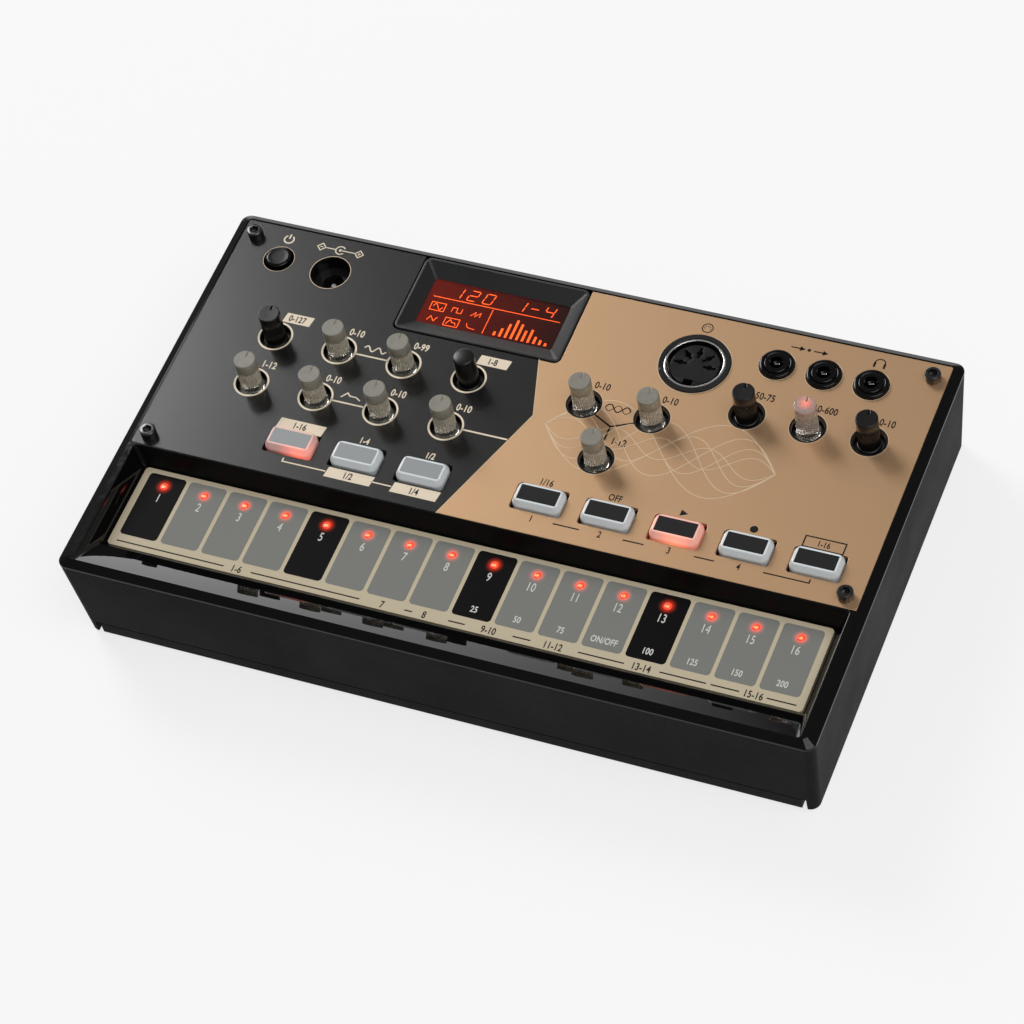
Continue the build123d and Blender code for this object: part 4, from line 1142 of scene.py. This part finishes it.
def buttonSections(bottom, top):
    b = buttonShape
    flangeLow = bottom + b["stemLength"]
    flangeTop = flangeLow + b["flangeHeight"]
    softFoot = top - b["side"] - b["soft"]
    wide = (b["length"] + 2 * b["flange"], b["depth"] + 2 * b["flange"], b["corner"])
    body = (b["length"], b["depth"], b["corner"])
    face = (b["topLength"], b["topDepth"], b["topCorner"])
    runs = [(b["softShare"] * t, softFoot + (b["soft"] + b["softRise"]) * t) for t in (0.25, 0.5, 0.75, 1)]
    runs += [(share, top - drop) for share, drop in b["edge"]]
    sections = [(flangeLow, *wide), (flangeTop, *wide), (flangeTop, *body), (softFoot, *body)]
    for share, height in runs:
        sections.append((height, *[low + (high - low) * share for low, high in zip(body, face)]))
    inset = b["topInset"]
    return sections + [(top, face[0] - inset, face[1] - inset, face[2] - inset / 2)]


def makeButton(node, grey):
    b = buttonShape
    bottom, top = levels(node)
    centre = place2d(node)
    shape = bmesh.new()
    stack(shape, centre, buttonSections(bottom, top))
    lathe(shape, centre, [(0, bottom), (b["stem"], bottom, 0.2), (b["stem"], bottom + b["stemLength"]),
                          (0, bottom + b["stemLength"])], 32)
    lit = litButtons.get(node)
    body = litFinish(node + "_glow", (*centre, panelTop), lit, litLook) if lit else "clearButton"
    addPiece(node + "_body", shape, bodyOf(node), [body], (node,))
    face = bmesh.new()
    outline = roundedOutline(centre, b["inkLength"], b["inkDepth"], b["inkCorner"], 3)
    disc(face, [outline], top - b["ink"] / 2, b["ink"])
    addPiece(node + "_face", face, bodyOf(node), ["buttonGreyInk" if grey else "buttonInk"])


greyButtons = ("step_edit_button", "active_step_button", "layer_button")
for name in buttonNames:
    makeButton(name, name in greyButtons)


powerShape = {"radius": 3.25, "edge": 0.6, "dish": 0.16, "face": 2.35, "flange": 5.05, "flangeHeight": 0.9,
              "stem": 1.6, "stemLength": 2.5}


def makePowerButton():
    p = powerShape
    bottom, top = levels("power_button")
    flangeLow = bottom + p["stemLength"]
    flangeTop = flangeLow + p["flangeHeight"]
    profile = [(0, bottom), (p["stem"], bottom, 0.2), (p["stem"], flangeLow), (p["flange"], flangeLow, 0.1),
               (p["flange"], flangeTop, 0.1), (p["radius"], flangeTop), (p["radius"], top - 0.2, p["edge"]),
               (p["radius"] - 0.6, top, 0.5), (p["radius"] - 1.5, top - p["dish"] * 0.8, 0.8),
               (0, top - p["dish"])]
    shape = bmesh.new()
    lathe(shape, place2d("power_button"), profile, 120)
    x, y = place2d("power_button")
    for face in shape.faces:
        middle = face.calc_center_median()
        inside = math.hypot(middle.x - x, middle.y - y) < p["face"]
        face.material_index = int(inside and middle.z > top - 0.5)
    addPiece("power_button_body", shape, "power_button", ["glossBlack", "powerTop"],
             ("power_button",))


makePowerButton()
print("buttons made:", len(buttonNames) + 1)


# touch strip: printed keys, numbers and lamp lenses

keyShape = {
    "count": 16, "length": 10.0, "back": -22.8, "front": -41.9, "corner": 1.0, "film": 0.03,
    "numberPlace": -29.6, "numberHeight": 2.55,
    "legendPlace": -39.3, "legendHeight": 1.8,
    "legends": {9: "25", 10: "50", 11: "75", 12: "ON/OFF", 13: "100", 14: "125", 15: "150", 16: "200"},
    "ruleY": -44.0, "ruleWidth": 0.36,
    "rules": ((-87.2, -58.2), (-51.0, -22.3), (-10.6, -8.6), (0.7, 5.0), (17.2, 21.7), (33.7, 45.2),
              (54.0, 65.5), (66.6, 73.6), (80.3, 87.5)),
    "ruleWords": {-54.7: "1-6", -16.4: "7", -5.5: "8", 11.0: "9-10", 27.5: "11-12", 49.6: "13-14",
                  77.2: "15-16"},
    "ruleHeight": 2.0,
}


def keyCentres():
    middle = (keyShape["count"] + 1) / 2
    return {number: (number - middle) * keyPitch for number in range(1, keyShape["count"] + 1)}


def makeKeys():
    k = keyShape
    names = {"greyKey": "grey_key_prints", "blackKey": "black_key_prints", "paleInk": "key_numbers",
             "blackInk": "strip_rules"}
    prints = {material: bmesh.new() for material in names}
    middle = (k["back"] + k["front"]) / 2
    above = stripTop + k["film"] * 0.8
    for number, x in keyCentres().items():
        outline = roundedOutline((x, middle), k["length"], k["back"] - k["front"], k["corner"])
        lens = circle((x, ledRow), ledLook["radius"] + 0.05)
        field = prints["blackKey" if number % 4 == 1 else "greyKey"]  # every fourth key is black
        disc(field, [outline, lens], stripInk, k["film"])
        write(prints["paleInk"], str(number), (x, k["numberPlace"]), k["numberHeight"], above, 0.66, 0.008)
        if number in k["legends"]:
            write(prints["paleInk"], k["legends"][number], (x, k["legendPlace"]), k["legendHeight"], above)
    for start, end in k["rules"]:
        line(prints["blackInk"], [(start, k["ruleY"]), (end, k["ruleY"])], k["ruleWidth"], stripInk)
    for x, words in k["ruleWords"].items():
        write(prints["blackInk"], words, (x, k["ruleY"]), k["ruleHeight"], stripInk)
    for material, shape in prints.items():
        addPiece(names[material], shape, "case", [material])


def makeLenses():
    shape = bmesh.new()
    bottom, top = levels("step_leds")
    r = ledLook["radius"]
    for x in keyCentres().values():
        lathe(shape, (x, ledRow), [(0, bottom), (r, bottom, 0.05), (r, top - 0.18, 0.05),
                                   (r * 0.8, top - 0.06, 0.2), (r * 0.4, top), (0, top)], 32)
    addPiece("step_lenses", shape, "case", ["ledLens"], ("step_leds",))


makeKeys()
makeLenses()
print("key strip made")


# prints on the control panel

printShape = {
    "knobRing": 4.27, "knobRingWidth": 0.5,
    "range": 2.1, "darkRange": (2.4, 6.2), "goldRange": (2.6, 6.2),  # knobs' number ranges: height and place
    "word": 1.9, "framedWord": 1.7,
    "line": 0.46, "thin": 0.36, "arrow": 0.34, "round": 0.3, "sign": 0.28, "fine": 0.2,  # widths
}
goldSide = ("resonator_decay_knob", "resonator_body_knob", "resonator_tune_knob", "swing_knob", "tempo_knob",
            "volume_knob")
knobWords = {  # number range at each knob's upper right
    "mod_amount_knob": "0-10", "mod_rate_knob": "0-99", "pitch_knob": "1-12",
    "attack_knob": "0-10", "release_knob": "0-10", "send_knob": "0-10",
    "resonator_decay_knob": "0-10", "resonator_body_knob": "0-10", "resonator_tune_knob": "1-12",
    "swing_knob": "50-75", "tempo_knob": "10-600", "volume_knob": "0-10",
}
rangeShift = {"resonator_tune_knob": 1.1}  # clear of the line above this knob
boxWords = {  # cream boxes: x from, x to, y from, y to
    "0-127": (-72.2, -64.8, 26.35, 29.3),
    "1-8": (-19.4, -11.3, 26.35, 29.3),
    "1-16": (-60.4, -48.2, -4.9, -1.8),
    "1/2": (-42.9, -30.7, -15.8, -12.8),
    "1/4": (-25.4, -13.3, -15.8, -12.8),
}
darkWords = (("active_step_button", "1-4", -3.2), ("layer_button", "1/2", -3.2))  # button, words and y
goldWords = (("step_jump_button", "1/16", -3.15), ("mute_button", "OFF", -3.15),
             ("step_jump_button", "1", -14.2), ("mute_button", "2", -14.2),
             ("play_button", "3", -14.2), ("record_button", "4", -14.2))
knobLines = (("mod_amount_knob", "mod_rate_knob"), ("attack_knob", "release_knob"))


def wave(start, end, height, turns, points=40):
    (x0, y0), (x1, y1) = start, end
    return [(x0 + (x1 - x0) * i / points, y0 + (y1 - y0) * i / points
             + height * math.sin(2 * math.pi * turns * i / points)) for i in range(points + 1)]


darkSigns = {  # kind of line, and its points
    "modulation": ("thin", wave((-48.4, 23.9), (-42.6, 23.9), 0.75, 2)),
    "envelope": ("thin", [(-48.2, 7.9), (-46.9, 9.5), (-46.0, 8.7), (-44.4, 8.7), (-43.0, 7.9)]),
    "bracket": ("thin", [(-30.7, -14.3), (-25.4, -14.3)]),
}
goldSigns = {
    "forkLeft": ("line", [(19.7, 16.7), (14.8, 19.2)]),
    "forkRight": ("line", [(19.7, 16.7), (24.9, 19.2)]),
    "forkFoot": ("line", [(19.7, 16.7), (19.7, 11.1)]),
    "tone": ("arrow", wave((16.4, 22.2), (23.0, 22.2), 1.0, 1.5)),
    "echo": ("fine", wave((16.4, 22.2), (23.0, 22.2), -1.0, 1.5)),
    "bracketLeft": ("thin", [(16.6, -14.2), (23.3, -14.2)]),
    "bracketMiddle": ("thin", [(34.4, -14.2), (39.7, -14.2)]),
    "bracketRight": ("thin", [(52.3, -14.2), (57.4, -14.2)]),
    "bracketEnd": ("thin", [(69.5, -14.2), (80.8, -14.2), (80.8, -13.1)]),
}


def knobPrints(cream, black):
    p = printShape
    for name in knobNames:
        shape, (right, up) = (black, p["goldRange"]) if name in goldSide else (cream, p["darkRange"])
        x, y = place2d(name)
        ring(shape, (x, y), p["knobRing"], p["knobRingWidth"])
        if name in knobWords:
            write(shape, knobWords[name], (x + right + rangeShift.get(name, 0), y + up), p["range"])


def sidePrints(shape, words, signs):
    for name, text, y in words:
        write(shape, text, (place2d(name)[0], y), printShape["word"])
    for kind, points in signs.values():
        line(shape, points, printShape[kind])


signShape = {
    "sendLineEnd": -3.2,
    "bracketTop": -13.2, "bracketFoot": (-42.9, -14.3),
    "powerUp": 6.7, "powerRadius": 1.25, "powerStroke": (6.9, 8.4), "powerWidth": 0.4,
    "poleAway": 5.2, "poleSize": 1.15, "poleArm": 0.4, "poleRing": 1.25, "poleDot": 0.42,
    "play": ((45.0, -3.9), (46.9, -3.0), (45.0, -2.1)), "recordY": -3.0, "recordRadius": 1.0,
    "lastFrame": ((75.8, -4.45), (75.8, -1.35), (85.8, -1.35), (85.8, -4.45)), "lastWord": (80.8, -2.9),
    "plug": (32.3, 51.6), "plugRadius": 1.35, "pins": (0, 45, 90, 135, 180), "pinCircle": 0.8, "pin": 0.17,
    "arrows": ((54.0, 57.7), (59.8, 63.5)), "arrowHead": (1.4, 0.75), "arrowDot": (58.6, 51.4),
    "phones": (76.5, 51.9), "phonesRadius": 1.3, "cupAway": 1.25, "cupSpan": (0.1, -1.35), "cupWidth": 0.55,
}


def darkSidePrints(shape):
    p, g = printShape, signShape
    sidePrints(shape, darkWords, darkSigns)
    runs = [(place2d(left), place2d(right)[0] - p["knobRing"]) for left, right in knobLines]
    for (x, y), end in runs + [(place2d("send_knob"), g["sendLineEnd"])]:
        line(shape, [(x + p["knobRing"], y), (end, y)], p["line"])
    # bracket that joins three buttons' boxes
    x = place2d("step_edit_button")[0] - 0.1
    end, foot = g["bracketFoot"]
    line(shape, [(x, g["bracketTop"]), (x, foot), (end, foot)], p["thin"])
    # power sign
    x, y = place2d("power_button")
    line(shape, arc((x, y + g["powerUp"]), g["powerRadius"], 125, 415), g["powerWidth"])
    line(shape, [(x, y + up) for up in g["powerStroke"]], g["powerWidth"])
    polaritySign(shape, (place2d("dc_jack_body")[0] - 0.3, g["plug"][1]))


def polaritySign(shape, centre):
    # two squares on edge and a ring, joined by a line
    x, y = centre
    g, width = signShape, printShape["sign"]
    away, half, arm, radius = g["poleAway"], g["poleSize"], g["poleArm"], g["poleRing"]
    for cx in (x - away, x + away):
        line(shape, [(cx - half, y), (cx, y + half), (cx + half, y), (cx, y - half)], width, closed=True)
        line(shape, [(cx - arm, y), (cx + arm, y)], width)
    line(shape, [(x + away, y - arm), (x + away, y + arm)], width)
    line(shape, arc(centre, radius, 35, 325), printShape["round"])
    line(shape, [(x - away + half, y), (x - radius, y)], width)
    line(shape, [(x, y), (x + away - half, y)], width)
    disc(shape, [circle(centre, g["poleDot"], 24)])


def goldSidePrints(shape):
    g = signShape
    sidePrints(shape, goldWords, goldSigns)
    # play, record and the framed number of the last button
    disc(shape, [g["play"]])
    disc(shape, [circle((place2d("record_button")[0], g["recordY"]), g["recordRadius"], 32)])
    line(shape, g["lastFrame"], printShape["thin"], closed=True)
    write(shape, "1-16", g["lastWord"], printShape["framedWord"])
    socketSigns(shape)


def socketSigns(shape):
    p, g = printShape, signShape
    # plug sign over the round socket
    x, y = g["plug"]
    ring(shape, (x, y), g["plugRadius"], p["sign"])
    for turn in [math.radians(angle) for angle in g["pins"]]:
        pin = (x + g["pinCircle"] * math.cos(turn), y - 0.1 + g["pinCircle"] * math.sin(turn))
        disc(shape, [circle(pin, g["pin"], 12)])
    # arrows over the two sync jacks: in on the left, out on the right
    back, half = g["arrowHead"]
    y = g["arrowDot"][1]
    for start, tip in g["arrows"]:
        line(shape, [(start, y), (tip - 0.9, y)], p["arrow"])
        disc(shape, [[(tip - back, y - half), (tip, y), (tip - back, y + half)]])
    disc(shape, [circle(g["arrowDot"], 0.45, 20)])
    # headphones
    x, y = g["phones"]
    line(shape, arc((x, y), g["phonesRadius"], -15, 195), p["round"])
    for cup in (x - g["cupAway"], x + g["cupAway"]):
        line(shape, [(cup, y + up) for up in g["cupSpan"]], g["cupWidth"])


def boxPrints(fields, words):
    lean = 0.45  # slanted ends
    for text, (x0, x1, y0, y1) in boxWords.items():
        disc(fields, [[(x0, y0), (x1, y0), (x1 + lean, y1), (x0 + lean, y1)]])
        write(words, text, ((x0 + x1) / 2, (y0 + y1) / 2), printShape["word"], inkLevel + 0.015)


waves = {  # fine standing waves over the gold field, each a hair above the one before
    "left": 4.0, "right": 63.0, "rest": 13.5, "width": 0.17, "thickness": 0.012, "step": 0.003,
    "rows": ((11.0, 1.0), (8.2, 1.5), (5.6, 2.0), (3.2, 2.5)),  # height and number of turns
    "ringGap": 0.5, "socketGap": 9.5, "buttonGap": (7.0, 4.6),
}


def onBarePanel(x, y):
    # false where a printed wave would meet a knob's ring, the round socket or a button
    ringGap = printShape["knobRing"] + waves["ringGap"]
    rounds = {**dict.fromkeys(goldSide, ringGap), "din_socket_housing": waves["socketGap"]}
    if any(math.dist((x, y), place2d(name)) < gap for name, gap in rounds.items()):
        return False
    aside, along = waves["buttonGap"]
    places = [place2d(name) for name in buttonNames]
    return all(abs(x - px) > aside or abs(y - py) > along for px, py in places)


def wavePrints(shape):
    w = waves
    level = inkLevel
    for height, turns in w["rows"]:
        for side in (-1, 1):
            level += w["step"]
            run = []
            points = wave((w["left"], w["rest"]), (w["right"], w["rest"]), side * height, turns, 300)
            for point in points + [None]:
                if point and onBarePanel(*point):
                    run.append(point)
                    continue
                if len(run) > 3:
                    line(shape, run, w["width"], level, w["thickness"])
                run = []


paleRings = {  # round the holes: radius and width
    "din_socket_housing": (9.12, 0.2), "power_button": (4.05, 0.12), "dc_jack_body": (5.25, 0.16),
    **dict.fromkeys(goldSide, (4.62, 0.14)),
}
jackRing = (4.6, 0.16)
seamLine = (0.12, 0.16)  # aside of the seam, and width


def edgeRings(shape):
    # thin pale line round the holes of sockets and knobs, and along the seam of the two colours
    for name, (radius, width) in paleRings.items():
        ring(shape, place2d(name), radius, width)
    for x in jackPlaces:
        ring(shape, (x, jackRow), *jackRing)
    aside, width = seamLine
    corners = [panelLook[end] for end in ("bendHigh", "bend", "bendLow")]
    line(shape, [(x + aside, y) for x, y in corners], width)


def makePanelPrints():
    cream, black, wavy, edges = [bmesh.new() for _ in range(4)]
    knobPrints(cream, black)
    darkSidePrints(cream)
    goldSidePrints(black)
    boxPrints(cream, black)
    wavePrints(wavy)
    edgeRings(edges)
    addPiece("cream_prints", cream, "case", ["creamInk"])
    addPiece("black_prints", black, "case", ["blackInk"])
    addPiece("wave_prints", wavy, "case", ["waveInk"])
    addPiece("edge_rings", edges, "case", ["waveInk"])


makePanelPrints()
print("panel prints made")


# display: lit figures and signs on the module's face

displayShape = {
    "level": 0.01, "thickness": 0.03, "stroke": 0.25, "fine": 0.18,
    "figures": {-33.2: "1", -29.0: "2", -24.8: "0", -16.2: "1", -12.4: "-", -8.4: "4"},
    "figureY": 48.0, "figureSize": (2.3, 3.2), "slant": 0.3, "gap": 0.16,
    "rule": (-39.0, -4.8), "ruleY": 45.6,
    "divider": (-22.6, 37.4, 45.2),  # x, y from, y to
    "iconX": (-36.6, -31.4, -26.2), "iconY": (42.6, 38.7), "iconSize": (3.8, 2.5),
    "bars": (1.2, 2.6, 4.4, 6.0, 5.1, 3.4, 4.1, 2.2, 1.5, 0.9),
    "barX": -19.6, "barPitch": 1.52, "barY": 37.6, "bar": 0.62,
}
segments = {  # seven strokes of a figure, in halves of its width and height
    "a": ((-1, 1), (1, 1)), "b": ((1, 1), (1, 0)), "c": ((1, 0), (1, -1)), "d": ((-1, -1), (1, -1)),
    "e": ((-1, -1), (-1, 0)), "f": ((-1, 0), (-1, 1)), "g": ((-1, 0), (1, 0)),
}
figureStrokes = {"0": "abcdef", "1": "bc", "2": "abged", "4": "fgbc", "-": "g"}
waveSigns = {  # by column and row
    (0, 0): wave((-1.3, 0), (1.3, 0), 0.8, 1, 20),
    (1, 0): [(-1.3, -0.7), (-1.3, 0.7), (0, 0.7), (0, -0.7), (1.3, -0.7), (1.3, 0.7)],
    (2, 0): [(-1.3, -0.7), (-0.2, 0.7), (-0.2, -0.7), (1.1, 0.7), (1.1, -0.7)],
    (0, 1): [(-1.3, -0.7), (-0.6, 0.7), (0.5, -0.7), (1.2, 0.7)],
    (1, 1): [(-1.3, -0.7), (-0.5, 0.8), (0.1, 0.0), (0.9, 0.0), (1.3, -0.7)],
    (2, 1): [(-1.3, 0.7), (-0.9, -0.3), (-0.2, -0.6), (1.3, -0.7)],
}


def makeDisplay():
    s = displayShape
    shape = bmesh.new()
    level = levels("display_module")[1] + s["level"]

    def light(points, width, closed=False):
        line(shape, points, width, level, s["thickness"], closed)

    wide, high = [side / 2 for side in s["figureSize"]]
    for x, figure in s["figures"].items():
        for stroke in figureStrokes[figure]:
            start, end = [Vector((x + px * wide + py * s["slant"], s["figureY"] + py * high))
                          for px, py in segments[stroke]]
            inset = (end - start).normalized() * s["gap"]
            light([start + inset, end - inset], s["stroke"])
    light([(x, s["ruleY"]) for x in s["rule"]], s["fine"])
    width, height = [side / 2 for side in s["iconSize"]]
    for (column, row), points in waveSigns.items():
        x, y = s["iconX"][column], s["iconY"][row]
        light([(x + px, y + py) for px, py in points], s["fine"])
        if column == row:
            light([(x - width, y - height), (x + width, y - height), (x + width, y + height),
                   (x - width, y + height)], s["fine"], closed=True)
    x, low, high = s["divider"]
    light([(x, high), (x, low)], s["fine"])
    for i, tall in enumerate(s["bars"]):
        x = s["barX"] + i * s["barPitch"]
        light([(x, s["barY"]), (x, s["barY"] + tall)], s["bar"])
    addPiece("display_figures", shape, "case", ["segmentLight"])


makeDisplay()
print("display made")
